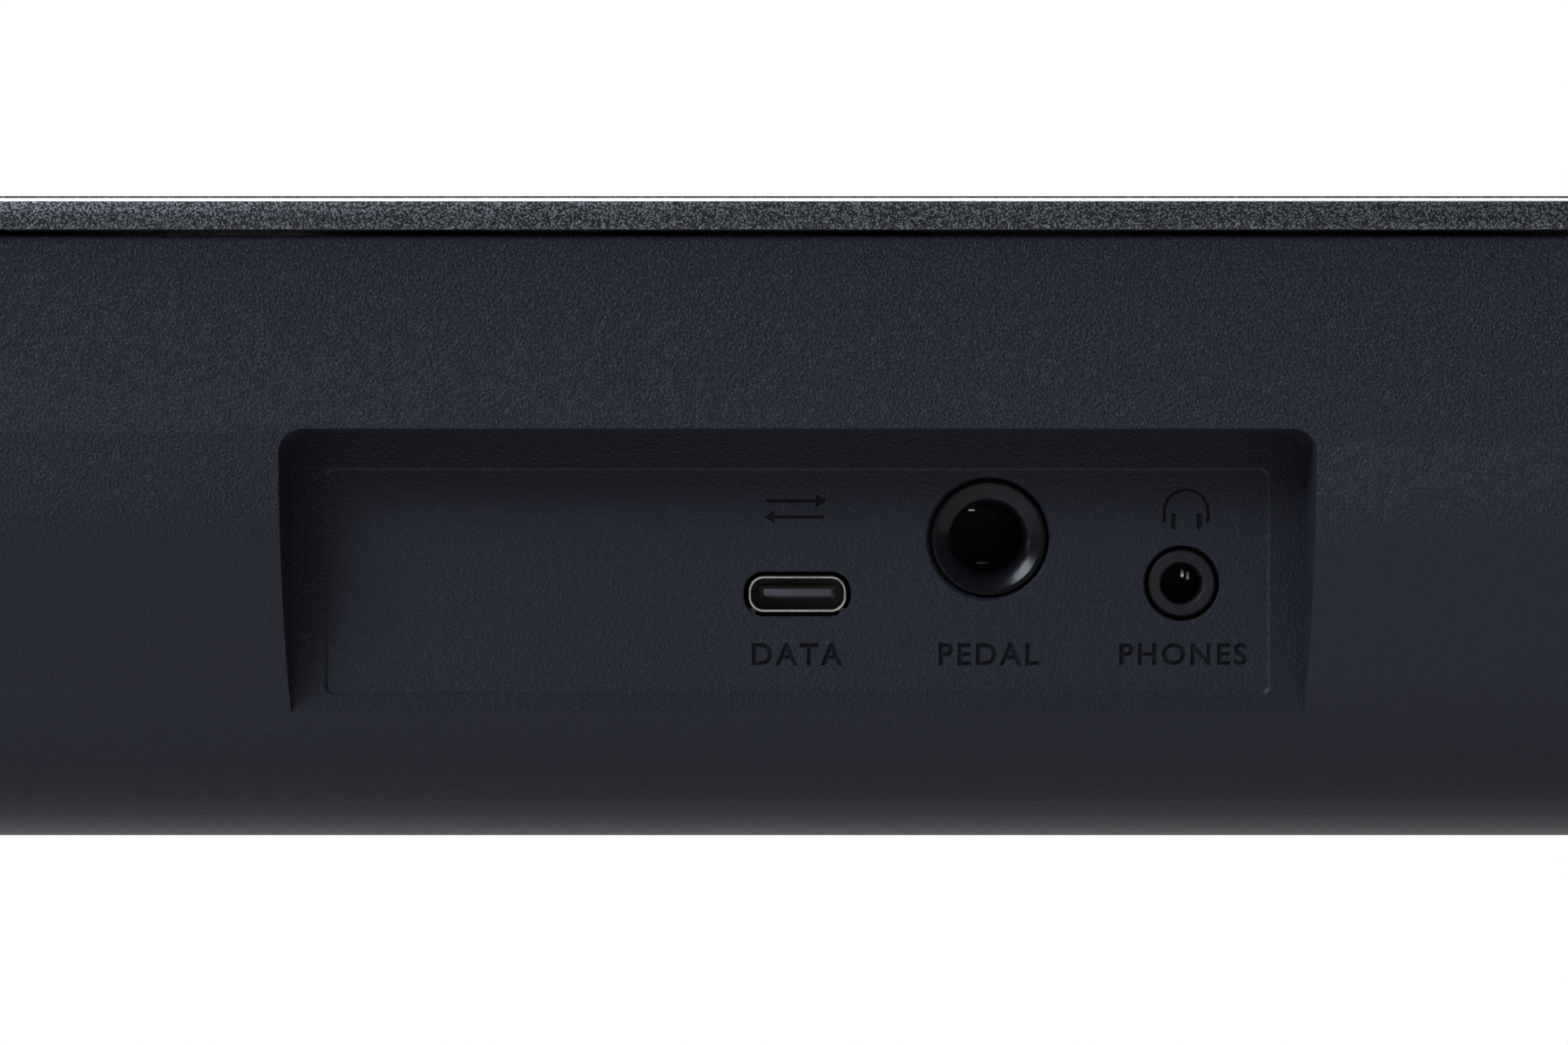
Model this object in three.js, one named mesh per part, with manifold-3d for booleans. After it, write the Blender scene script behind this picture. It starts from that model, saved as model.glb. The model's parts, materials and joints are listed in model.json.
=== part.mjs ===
// A slim digital piano with 88 keys, standing on a knock-down board stand.
// Millimetres, +Z up. The player sits on the -Y side with the bass on -X. The origin is on the floor,
// under the middle of the stand. Each mesh is one piece as it would lie on a bench.
import * as THREE from "three";
import { mergeVertices } from "three/addons/utils/BufferGeometryUtils.js";
import Module from "manifold-3d";

const wasm = await Module();
wasm.setup();

// ---------------------------------------------------------------- driving dimensions
const FIT = 0.3; // gap between pieces that touch
const WALL = 2.5; // moulded case wall
const FRONT_WALL = 18; // height of the lower case behind the key slip, clear of pressed keys

// Key field
const PITCH = 23.5; // octave of 164.5 mm over seven white keys
const WHITE_GAP = 1;
const FIRST_NOTE = 21;
const LAST_NOTE = 108;
const WHITES = 52;
const FIELD = WHITES * PITCH;
const KEY_SHOWN = 148; // white key length in front of the top panel
const HEAD = 51; // white key length in front of the black keys
const HINGE_BACK = 52; // the hinge line lies this far behind the panel's front edge
const WHITE_TOP = 45;
const WHITE_THICK = 14;
const BLACK_RISE = 11.3;
const BLACK_W = 10.8;
const BLACK_SLOT = 13.7;
const RAIL_DEEP = 8; // bar that joins a moulded set of keys

// Case
const CASE_H = 58.3;
const CASE_DEEP = 278;
const CASE_Z = 680; // height above the floor of the level that the case is measured from
const PLATE_T = 3.1; // top panel
const PLATE_LIP = 0.8; // it stands this far behind the rear wall
const CHEEK_W = 28;
const SIDE_GAP = 1.5;
const HALF_IN = FIELD / 2 + SIDE_GAP; // inner face of each end block
const HALF_LEN = HALF_IN + CHEEK_W;
const REAR = CASE_DEEP / 2;
const FRONT = -CASE_DEEP / 2;
const KEY_FRONT = FRONT + 14;
const PANEL_FRONT = KEY_FRONT + KEY_SHOWN;
const HINGE_Y = PANEL_FRONT + HINGE_BACK;
const HINGE_Z = 34;
const PLATE_Z = CASE_H - PLATE_T;
const STRAIGHT = 20; // the rear wall is upright for this far below the top, then tucks under
const TUCK = 30; // how far the elliptical tuck runs in under the case
const UNDER = -2; // underside of the case, below the level that the other heights are measured from

// Connector recess in the rear wall
const RECESS_X = -300;
const RECESS_W = 94.7;
const RECESS_TOP = CASE_H - 21.2;
const RECESS_D = 8;
const RECESS_R = 2.3;
const RECESS_FLOOR = REAR - RECESS_D;
const PEDAL = { x: RECESS_X - 17.8, z: 27.1, bore: 3.3, nose: 5.3, hole: 5.65 };
const PHONES = { x: RECESS_X - 35.75, z: 22.9, bore: 1.8, nose: 3.13, hole: 3.55 };
const PORT = { x: RECESS_X, z: 21.9, w: 9.13, h: 3.46, wall: 0.36, gap: 0.4, deep: 7.6 };
const BOARD_T = 1.6;
const JACK_BOARD_Z = 17.2; // undersides of the two circuit boards
const MAIN_BOARD_Z = 12;

// Controls on the top panel
const GRILLE = { x: 430, y: 112, w: 150, d: 36, r: 8 };
const KNOB = { x: -45, y: 96, r: 8, h: 8, shaft: 3 };
const BUTTONS = { power_button: 20, voice_button: 48, metronome_button: 76 };
const BUTTON = { y: 96, w: 14, d: 7, r: 2.2, proud: 1.4, gap: 0.4 };
const BUTTON_LOW = PLATE_Z - 4;
const TRAVEL = 1.2;

// Stand
const UPRIGHT_X = 590;
const BOARD = 22;
const FOOT = { w: 44, h: 36, len: 360, toe: 30 };
const GLIDE = { r: 15, h: 8, y: 158 };
const BRACKET_T = 3;
const THUMB = { x: 555, y: 80, shank: 3, head: 10 };
const BEAM = { y: 71, t: 18, low: 430, high: 600 };

// ---------------------------------------------------------------- materials
const paint = (color, roughness, metalness = 0) =>
  new THREE.MeshStandardMaterial({ color, roughness, metalness });
const CASE_PLASTIC = paint(0x24252d, 0.55);
const PANEL_PAINT = paint(0x3a3d44, 0.35, 0.6);
const IVORY = paint(0xf1efe8, 0.25);
const EBONY = paint(0x151517, 0.4);
const JACK_PLASTIC = paint(0x0c0c0e, 0.3);
const NICKEL = paint(0xb9b6ae, 0.25, 1);
const STEEL = paint(0x1b1c1f, 0.5, 0.7);
const CIRCUIT = paint(0x1d4a33, 0.5);
const RUBBER = paint(0x1a1a1a, 0.9);
const GRILLE_METAL = paint(0x17181b, 0.45, 0.5);
const LAMINATE = paint(0x232327, 0.6);

// ---------------------------------------------------------------- solids
// A closed three.js geometry as a manifold solid.
function solid(geometry) {
  const g = geometry.clone();
  g.deleteAttribute("normal");
  g.deleteAttribute("uv");
  const merged = mergeVertices(g, 1e-4);
  return new wasm.Manifold(
    new wasm.Mesh({
      numProp: 3,
      vertProperties: merged.attributes.position.array,
      triVerts: new Uint32Array(merged.index.array),
    }),
  );
}

// A manifold solid as a three.js geometry.
function geometryOf(body) {
  const mesh = body.getMesh();
  const n = mesh.numProp;
  const points = new Float32Array(mesh.numVert * 3);
  for (let i = 0; i < mesh.numVert; i++) {
    points.set(mesh.vertProperties.subarray(i * n, i * n + 3), i * 3);
  }
  return new THREE.BufferGeometry()
    .setAttribute("position", new THREE.BufferAttribute(points, 3))
    .setIndex(new THREE.BufferAttribute(mesh.triVerts, 1));
}

// A box from its lowest to its highest corner.
function block([x0, y0, z0], [x1, y1, z1]) {
  const g = new THREE.BoxGeometry(x1 - x0, y1 - y0, z1 - z0);
  g.translate((x0 + x1) / 2, (y0 + y1) / 2, (z0 + z1) / 2);
  return solid(g);
}

const extruded = (shape, depth, curveSegments) =>
  new THREE.ExtrudeGeometry(shape, { depth, curveSegments, bevelEnabled: false });

// A (y, z) outline run along X from x0 to x1.
function alongX(outline, x0, x1, curveSegments = 12) {
  const g = extruded(outline, x1 - x0, curveSegments);
  g.rotateX(Math.PI / 2);
  g.rotateZ(Math.PI / 2);
  g.translate(x0, 0, 0);
  return solid(g);
}

// An (x, y) outline raised along Z from z0 to z1.
function alongZ(outline, z0, z1, curveSegments = 12) {
  const g = extruded(outline, z1 - z0, curveSegments);
  g.translate(0, 0, z0);
  return solid(g);
}

// An (x, z) outline run along Y from y0 to y1.
function alongY(outline, y0, y1, curveSegments = 12) {
  const g = extruded(outline, y1 - y0, curveSegments);
  g.rotateX(Math.PI / 2);
  g.translate(0, y1, 0);
  return solid(g);
}

function polygon(...points) {
  return new THREE.Shape(points.map(([a, b]) => new THREE.Vector2(a, b)));
}

// A rectangle with rounded corners, centred on (cx, cy).
function roundRect(cx, cy, w, h, r) {
  const s = new THREE.Shape();
  const [x0, x1, y0, y1] = [cx - w / 2, cx + w / 2, cy - h / 2, cy + h / 2];
  s.moveTo(x0 + r, y0);
  s.lineTo(x1 - r, y0);
  s.absarc(x1 - r, y0 + r, r, -Math.PI / 2, 0);
  s.lineTo(x1, y1 - r);
  s.absarc(x1 - r, y1 - r, r, 0, Math.PI / 2);
  s.lineTo(x0 + r, y1);
  s.absarc(x0 + r, y1 - r, r, Math.PI / 2, Math.PI);
  s.lineTo(x0, y0 + r);
  s.absarc(x0 + r, y0 + r, r, Math.PI, 1.5 * Math.PI);
  return s;
}

// A cylinder along "y" or "z" from its centre (a, b) across the axis, between two places along it.
function rod(axis, a, b, r, from, to, sides = 24) {
  const g = new THREE.CylinderGeometry(r, r, to - from, sides);
  const middle = (from + to) / 2;
  if (axis === "z") {
    g.rotateX(Math.PI / 2);
    g.translate(a, b, middle);
  } else {
    g.translate(a, middle, b);
  }
  return solid(g);
}

// A cone frustum along Y, from radius r0 at y0 to r1 at y1.
function funnel(x, z, r0, y0, r1, y1, sides = 24) {
  const g = new THREE.CylinderGeometry(r1, r0, y1 - y0, sides);
  g.translate(x, (y0 + y1) / 2, z);
  return solid(g);
}

const join = (first, ...rest) => rest.reduce((all, one) => all.add(one), first);
const cut = (first, ...tools) => tools.reduce((all, one) => all.subtract(one), first);

// ---------------------------------------------------------------- assembly
const piano = new THREE.Group();
piano.position.z = CASE_Z;
const stand = new THREE.Group();
const instrument = new THREE.Group();
instrument.add(piano, stand);

function place(parent, name, body, material) {
  const mesh = new THREE.Mesh(geometryOf(body), material);
  mesh.name = name;
  parent.add(mesh);
}

// ---------------------------------------------------------------- case
// Rear half of the outer case section: upright wall, then an elliptical tuck to the underside.
function caseSection(inset) {
  const s = new THREE.Shape();
  const top = CASE_H - STRAIGHT;
  s.moveTo(FRONT + 12.8, UNDER + inset);
  s.lineTo(REAR - TUCK, UNDER + inset);
  s.absellipse(REAR - TUCK, top, TUCK - inset, top - UNDER - inset, -Math.PI / 2, 0, false);
  s.lineTo(REAR - inset, PLATE_Z - FIT);
  s.lineTo(FRONT + 12.8, PLATE_Z - FIT);
  return s;
}

// Opening of the recess seen from behind: square below, rounded at its two upper corners.
function recessOutline(grow) {
  const half = RECESS_W / 2 + grow;
  const top = RECESS_TOP + grow;
  const r = RECESS_R + grow;
  const s = new THREE.Shape();
  s.moveTo(RECESS_X - half, 0);
  s.lineTo(RECESS_X + half, 0);
  s.lineTo(RECESS_X + half, top - r);
  s.absarc(RECESS_X + half - r, top - r, r, 0, Math.PI / 2);
  s.lineTo(RECESS_X - half + r, top);
  s.absarc(RECESS_X - half + r, top - r, r, Math.PI / 2, Math.PI);
  return s;
}

// Shell of the case, open above and at its ends, with the recess moulded into its rear wall.
function lowerCase() {
  const end = HALF_IN - FIT;
  const inside = FRONT + 12.8 + WALL;
  const floor = UNDER + WALL;
  const outer = alongX(caseSection(0), -end, end, 14);
  const shell = cut(
    outer,
    alongX(caseSection(WALL), -end - 1, end + 1, 14).intersect(
      block([-end, inside, UNDER], [end, REAR, CASE_H]),
    ),
    block([-end - 1, inside, floor], [end + 1, REAR - TUCK, CASE_H]),
    block([-end - 1, FRONT, FRONT_WALL], [end + 1, REAR - WALL, CASE_H]),
  );
  const pocket = alongY(recessOutline(WALL), RECESS_FLOOR - WALL, REAR, 4).intersect(outer);
  const jackPosts = [-40, 8].map((x) => rod("z", RECESS_X + x, 104, 3, floor - 1, JACK_BOARD_Z - FIT, 12));
  const boardPosts = [-95, 95].map((x) => rod("z", x, 104, 3, floor - 1, MAIN_BOARD_Z - FIT, 12));
  const screwHoles = [-1, 1].flatMap((side) =>
    [-1, 1].map((back) => rod("z", side * THUMB.x, back * THUMB.y, THUMB.shank + 0.4, UNDER - 1, floor + 1, 16)),
  );
  return cut(
    join(shell, pocket, ...jackPosts, ...boardPosts),
    alongY(recessOutline(0), RECESS_FLOOR, REAR + 5, 4),
    rod("y", PEDAL.x, PEDAL.z, PEDAL.hole, RECESS_FLOOR - 5, REAR, 32),
    rod("y", PHONES.x, PHONES.z, PHONES.hole, RECESS_FLOOR - 5, REAR, 24),
    dataPortSlot(),
    ...screwHoles,
  );
}

function dataPortSlot() {
  const { x, z, w, h, gap } = PORT;
  const r = h / 2 + gap;
  return alongY(roundRect(x, z, w + 2 * gap, 2 * r, r - 0.01), RECESS_FLOOR - 5, REAR, 6);
}

// Cutters for the openings of the top panel.
function panelOpenings() {
  const [z0, z1] = [PLATE_Z - 1, CASE_H + 1];
  const grilles = [-1, 1].map((side) =>
    alongZ(roundRect(side * GRILLE.x, GRILLE.y, GRILLE.w + 2 * FIT, GRILLE.d + 2 * FIT, GRILLE.r), z0, z1, 4),
  );
  const slots = Object.values(BUTTONS).map((x) =>
    alongZ(roundRect(x, BUTTON.y, BUTTON.w + 2 * BUTTON.gap, BUTTON.d + 2 * BUTTON.gap, BUTTON.r), z0, z1, 3),
  );
  return [...grilles, ...slots, rod("z", KNOB.x, KNOB.y, KNOB.shaft + 0.5, z0, z1, 16)];
}

function topPanel() {
  const slab = block([-HALF_LEN, PANEL_FRONT, PLATE_Z], [HALF_LEN, REAR + PLATE_LIP, CASE_H]);
  return cut(slab, ...panelOpenings());
}

// End block: the case section closed off, lower beside the keys than under the panel.
function endBlock(side) {
  const s = new THREE.Shape();
  const top = CASE_H - STRAIGHT;
  s.moveTo(FRONT + 6, UNDER);
  s.lineTo(REAR - TUCK, UNDER);
  s.absellipse(REAR - TUCK, top, TUCK, top - UNDER, -Math.PI / 2, 0, false);
  s.lineTo(REAR, PLATE_Z - FIT);
  s.lineTo(PANEL_FRONT - FIT, PLATE_Z - FIT);
  s.lineTo(FRONT + 8, WHITE_TOP + 3);
  s.absarc(FRONT + 8, WHITE_TOP - 5, 8, Math.PI / 2, Math.PI);
  s.lineTo(FRONT, UNDER + 6);
  s.absarc(FRONT + 6, UNDER + 6, 6, Math.PI, 1.5 * Math.PI);
  return side < 0 ? alongX(s, -HALF_LEN, -HALF_IN, 8) : alongX(s, HALF_IN, HALF_LEN, 8);
}

// Rail that hides the lower front of the keys.
function keySlip() {
  const s = new THREE.Shape();
  const [back, top] = [FRONT + 12.5, WHITE_TOP - 6];
  s.moveTo(FRONT + 6, UNDER);
  s.lineTo(back, UNDER);
  s.lineTo(back, top);
  s.lineTo(FRONT + 4, top);
  s.absarc(FRONT + 4, top - 4, 4, Math.PI / 2, Math.PI);
  s.lineTo(FRONT, UNDER + 6);
  s.absarc(FRONT + 6, UNDER + 6, 6, Math.PI, 1.5 * Math.PI);
  return alongX(s, -HALF_IN + FIT, HALF_IN - FIT, 5);
}

place(piano, "lower_case", lowerCase(), CASE_PLASTIC);
place(piano, "top_panel", topPanel(), PANEL_PAINT);
place(piano, "end_block_left", endBlock(-1), CASE_PLASTIC);
place(piano, "end_block_right", endBlock(1), CASE_PLASTIC);
place(piano, "key_slip", keySlip(), CASE_PLASTIC);

// ---------------------------------------------------------------- sound
// Oval driver hung under the panel: flange, cone basket and magnet.
function speaker(side) {
  const profile = [
    [0, 24], [13, 24], [13, 34], [21, 50], [23, 50], [23, 53], [0, 53],
  ];
  const g = new THREE.LatheGeometry(profile.map(([r, z]) => new THREE.Vector2(r, z)), 24);
  g.rotateX(Math.PI / 2);
  g.scale(2.6, 1, 1);
  g.translate(side * GRILLE.x, GRILLE.y, 0);
  return solid(g);
}

for (const [side, word] of [[-1, "left"], [1, "right"]]) {
  const panel = roundRect(side * GRILLE.x, GRILLE.y, GRILLE.w, GRILLE.d, GRILLE.r - FIT);
  place(piano, `speaker_grille_${word}`, alongZ(panel, PLATE_Z + 0.4, CASE_H - 0.3, 4), GRILLE_METAL);
  place(piano, `speaker_${word}`, speaker(side), RUBBER);
}

// ---------------------------------------------------------------- controls
function volumeKnob() {
  return join(
    rod("z", KNOB.x, KNOB.y, KNOB.r, CASE_H + 0.4, CASE_H + KNOB.h, 32),
    rod("z", KNOB.x, KNOB.y, KNOB.shaft, CASE_H - 16, CASE_H + 1, 16),
  );
}

// Key cap with a wider skirt under the panel that keeps it in.
function buttonCap(x) {
  const { y, w, d, r, proud, gap } = BUTTON;
  return join(
    alongZ(roundRect(x, y, w, d, r - gap), BUTTON_LOW, CASE_H + proud, 3),
    alongZ(roundRect(x, y, w + 3, d + 3, r), BUTTON_LOW, PLATE_Z - FIT, 3),
  );
}

place(piano, "volume_knob", volumeKnob(), NICKEL);
for (const [name, x] of Object.entries(BUTTONS)) {
  place(piano, name, buttonCap(x), JACK_PLASTIC);
}

// ---------------------------------------------------------------- electronics
const JACK_BOARD_TOP = JACK_BOARD_Z + BOARD_T;

// Board with the encoder under the knob, a riser with a switch under each button, two chips and
// two capacitors.
function mainBoard() {
  const top = MAIN_BOARD_Z + BOARD_T;
  const on = top - 0.1;
  const risers = Object.values(BUTTONS).map((x) =>
    block([x - 3, BUTTON.y - 3, on], [x + 3, BUTTON.y + 3, BUTTON_LOW - TRAVEL - FIT]),
  );
  return join(
    block([-110, 90, MAIN_BOARD_Z], [110, 126, top]),
    block([KNOB.x - 6, KNOB.y - 6, on], [KNOB.x + 6, KNOB.y + 6, CASE_H - 16 - FIT]),
    block([-30, 106, on], [-6, 124, top + 1.6]),
    block([12, 108, on], [28, 122, top + 1.4]),
    rod("z", 58, 114, 6, on, top + 14, 16),
    rod("z", 82, 114, 6, on, top + 14, 16),
    ...risers,
  );
}

// A jack body with a round nose that stands in the recess floor and a bore for its plug.
function jackBody({ x, z, bore, nose }, w, h, deep, rim, sides) {
  const face = RECESS_FLOOR - 0.2;
  const back = RECESS_FLOOR - WALL - FIT;
  const body = join(
    rod("y", x, z, nose, back - 1, face, sides),
    block([x - w / 2, back - deep, JACK_BOARD_TOP + FIT], [x + w / 2, back, z + h / 2]),
  );
  return cut(
    body,
    rod("y", x, z, bore, back - deep + 1.5, face + 1, sides),
    funnel(x, z, bore, face - rim[1], rim[0], face + 0.001, sides),
  );
}

function dataPortShell() {
  const { x, z, w, h, wall, deep } = PORT;
  const [r, back] = [h / 2 - 0.01, RECESS_FLOOR - deep];
  const tube = cut(
    alongY(roundRect(x, z, w, h, r), back, RECESS_FLOOR - 0.1, 6),
    alongY(roundRect(x, z, w - 2 * wall, h - 2 * wall, r - wall), back - 1, RECESS_FLOOR + 1, 6),
  );
  const legs = [-1, 1].map((side) =>
    block(
      [x + side * 4.2 - 0.3, back + 1, JACK_BOARD_TOP + FIT],
      [x + side * 4.2 + 0.3, back + 2.4, z - 0.6],
    ),
  );
  return join(tube, ...legs);
}

function dataPortTongue() {
  const { x, z, w, h, wall, deep } = PORT;
  const back = RECESS_FLOOR - deep;
  const [halfW, halfH] = [w / 2 - wall - 0.9, h / 2 - wall - FIT];
  return join(
    block([x - halfW, back, z - halfH], [x + halfW, back + 2.6, z + halfH]),
    block([x - 3.3, back + 2.5, z - 0.33], [x + 3.3, RECESS_FLOOR - 0.9, z + 0.33]),
  );
}

place(piano, "main_board", mainBoard(), CIRCUIT);
place(
  piano,
  "jack_board",
  block([RECESS_X - 46, 97, JACK_BOARD_Z], [RECESS_X + 14, 127.8, JACK_BOARD_TOP]),
  CIRCUIT,
);
place(piano, "data_port_shell", dataPortShell(), NICKEL);
place(piano, "data_port_tongue", dataPortTongue(), JACK_PLASTIC);
place(piano, "pedal_jack", jackBody(PEDAL, 16, 16, 27, [4.7, 2.4], 32), JACK_PLASTIC);
place(piano, "phones_jack", jackBody(PHONES, 8, 7.4, 13, [2.0, 0.5], 24), JACK_PLASTIC);

// ---------------------------------------------------------------- key action
// Folded chassis with a front guide rail and the fulcrum rail under the hinge line.
function keyFrame() {
  const base = UNDER + 3;
  const s = polygon(
    [KEY_FRONT + 5, base], [HINGE_Y + 16, base], [HINGE_Y + 16, base + 3], [HINGE_Y + 6, base + 3],
    [HINGE_Y + 6, 30.4], [HINGE_Y - 4, 30.4], [HINGE_Y - 4, base + 3], [KEY_FRONT + 32, base + 3],
    [KEY_FRONT + 32, 19], [KEY_FRONT + 24, 19], [KEY_FRONT + 24, base + 3], [KEY_FRONT + 5, base + 3],
  );
  return alongX(s, -HALF_IN + 2, HALF_IN - 2);
}

place(piano, "key_frame", keyFrame(), STEEL);
place(
  piano,
  "contact_strip",
  block([-FIELD / 2, -55, UNDER + 6 + FIT], [FIELD / 2, -37, 13]),
  RUBBER,
);

const isBlack = (note) => [1, 3, 6, 8, 10].includes(note % 12);

// Number of white keys below a note, counted from the first key.
function whitesBelow(note) {
  let count = 0;
  for (let n = FIRST_NOTE; n < note; n++) {
    if (!isBlack(n)) count++;
  }
  return count;
}

// Black keys are spread so that the white tails between them are equal within each group of an
// octave: C to E, with two black keys, and F to B, with three.
function blackCentre(note) {
  const step = note % 12;
  const [whites, order] = step < 5 ? [3, (step - 1) / 2] : [4, (step - 6) / 2];
  const tail = (whites * PITCH - (whites - 1) * BLACK_SLOT) / whites;
  const groupLeft = -FIELD / 2 + (whitesBelow(note) - order - 1) * PITCH;
  return groupLeft + (order + 1) * tail + (order + 0.5) * BLACK_SLOT;
}

function whiteKey(note) {
  const left = -FIELD / 2 + whitesBelow(note) * PITCH + WHITE_GAP / 2;
  const right = left + PITCH - WHITE_GAP;
  const hasBlack = (n) => isBlack(n) && n >= FIRST_NOTE && n <= LAST_NOTE;
  const tailLeft = hasBlack(note - 1) ? blackCentre(note - 1) + BLACK_SLOT / 2 : left;
  const tailRight = hasBlack(note + 1) ? blackCentre(note + 1) - BLACK_SLOT / 2 : right;
  const [notch, rear] = [KEY_FRONT + HEAD, HINGE_Y + 4];
  const outline = polygon(
    [left, KEY_FRONT], [right, KEY_FRONT], [right, notch], [tailRight, notch],
    [tailRight, rear], [tailLeft, rear], [tailLeft, notch], [left, notch],
  );
  return alongZ(outline, WHITE_TOP - WHITE_THICK, WHITE_TOP);
}

const BLACK_FRONT = KEY_FRONT + HEAD + 1.5;

function blackKey(note) {
  const x = blackCentre(note);
  const [low, top] = [WHITE_TOP - WHITE_THICK, WHITE_TOP + BLACK_RISE];
  const profile = polygon(
    [BLACK_FRONT, low], [HINGE_Y, low], [HINGE_Y, 50.5], [PANEL_FRONT - 1.6, 50.5],
    [PANEL_FRONT - 1.6, top], [BLACK_FRONT + 5, top], [BLACK_FRONT, WHITE_TOP + 1],
  );
  return alongX(profile, x - BLACK_W / 2, x + BLACK_W / 2);
}

// A moulded set of keys: its keys and the bar that joins them behind or above the white tails.
function keySet(notes, makeKey, black) {
  const keys = notes.map(makeKey);
  const boxes = keys.map((k) => k.boundingBox());
  const x0 = Math.min(...boxes.map((b) => b.min[0]));
  const x1 = Math.max(...boxes.map((b) => b.max[0]));
  const bar = black
    ? block([x0, HINGE_Y - 26, 47.4], [x1, HINGE_Y - 26 + RAIL_DEEP, 50.5])
    : block([x0, HINGE_Y + 3, WHITE_TOP - WHITE_THICK], [x1, HINGE_Y + 3 + RAIL_DEEP, WHITE_TOP]);
  return join(bar, ...keys);
}

// Every octave but the middle one is moulded as a white set and a black set.
const MIDDLE_C = 60;
const SETS = { 1: [21, 35], 2: [36, 47], 3: [48, 59], 5: [72, 83], 6: [84, 95], 7: [96, 108] };
for (const [octave, [low, high]] of Object.entries(SETS)) {
  const notes = Array.from({ length: high - low + 1 }, (_, i) => low + i);
  const whites = notes.filter((n) => !isBlack(n));
  const blacks = notes.filter(isBlack);
  place(piano, `white_keys_octave_${octave}`, keySet(whites, whiteKey, false), IVORY);
  place(piano, `black_keys_octave_${octave}`, keySet(blacks, blackKey, true), EBONY);
}

// The middle octave has its twelve keys loose.
const NOTE_NAMES = ["c", "c_sharp", "d", "d_sharp", "e", "f", "f_sharp", "g", "g_sharp", "a", "a_sharp", "b"];
NOTE_NAMES.forEach((word, i) => {
  const note = MIDDLE_C + i;
  if (isBlack(note)) {
    place(piano, `key_${word}_4`, blackKey(note), EBONY);
  } else {
    place(piano, `key_${word}_4`, whiteKey(note), IVORY);
  }
});

// ---------------------------------------------------------------- stand
const FOOT_LOW = GLIDE.h;
const FOOT_HIGH = FOOT_LOW + FOOT.h;
const BRACKET_TOP = CASE_Z + UNDER - FIT;
const UPRIGHT_TOP = BRACKET_TOP - BRACKET_T - FIT;

// Upright board: wider at the top than at its waist.
function uprightOutline() {
  const s = new THREE.Shape();
  const [z0, z1, zw] = [FOOT_HIGH + FIT, UPRIGHT_TOP, 300];
  s.moveTo(-96, z0);
  s.lineTo(96, z0);
  s.quadraticCurveTo(84, zw, 112, z1);
  s.lineTo(-112, z1);
  s.quadraticCurveTo(-84, zw, -96, z0);
  return s;
}

function foot(x) {
  const half = FOOT.len / 2;
  const s = polygon(
    [-half, FOOT_LOW], [half, FOOT_LOW], [half, FOOT_LOW + 14], [half - FOOT.toe, FOOT_HIGH],
    [-half + FOOT.toe, FOOT_HIGH], [-half, FOOT_LOW + 14],
  );
  return alongX(s, x - FOOT.w / 2, x + FOOT.w / 2);
}

// Angle that carries the case: a plate on top of the upright and a flange down its inner face.
function bracket(side) {
  const face = UPRIGHT_X - BOARD / 2 - FIT; // inner face of the board, less the gap
  const [out, inn] = [UPRIGHT_X + BOARD / 2 - 1, 538];
  const [x0, x1] = side < 0 ? [-out, -inn] : [inn, out];
  const [f0, f1] = side < 0 ? [-face, -face + BRACKET_T] : [face - BRACKET_T, face];
  const holes = [-1, 1].map((end) =>
    rod("z", side * THUMB.x, end * THUMB.y, THUMB.shank + 0.4, UPRIGHT_TOP, CASE_Z + 1, 16),
  );
  return cut(
    join(
      block([x0, -100, BRACKET_TOP - BRACKET_T], [x1, 100, BRACKET_TOP]),
      block([f0, -60, UPRIGHT_TOP - 40], [f1, 60, BRACKET_TOP - 1]),
    ),
    ...holes,
  );
}

function thumbScrew(x, y) {
  const top = BRACKET_TOP - BRACKET_T - FIT;
  return join(
    rod("z", x, y, THUMB.head, top - 9, top, 20),
    rod("z", x, y, THUMB.shank, top - 1, CASE_Z + UNDER + WALL - FIT, 16),
  );
}

for (const [side, word] of [[-1, "left"], [1, "right"]]) {
  const x = side * UPRIGHT_X;
  place(stand, `stand_upright_${word}`, alongX(uprightOutline(), x - BOARD / 2, x + BOARD / 2, 8), LAMINATE);
  place(stand, `stand_foot_${word}`, foot(x), LAMINATE);
  place(stand, `stand_bracket_${word}`, bracket(side), STEEL);
  for (const [end, where] of [[-1, "front"], [1, "rear"]]) {
    place(
      stand,
      `glide_${where}_${word}`,
      rod("z", x, end * GLIDE.y, GLIDE.r, 0, GLIDE.h - FIT, 20),
      RUBBER,
    );
    place(
      stand,
      `thumb_screw_${where}_${word}`,
      thumbScrew(side * THUMB.x, end * THUMB.y),
      STEEL,
    );
  }
}
place(
  stand,
  "stand_beam",
  block(
    [-UPRIGHT_X + BOARD / 2 + FIT, BEAM.y - BEAM.t / 2, BEAM.low],
    [UPRIGHT_X - BOARD / 2 - FIT, BEAM.y + BEAM.t / 2, BEAM.high],
  ),
  LAMINATE,
);

export default instrument;
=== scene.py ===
import json
import math

import bmesh
import bpy
from bpy.props import FloatProperty, FloatVectorProperty, IntProperty, PointerProperty
from bpy.types import Operator, Panel, PropertyGroup
from mathutils import Matrix, Vector


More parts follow.
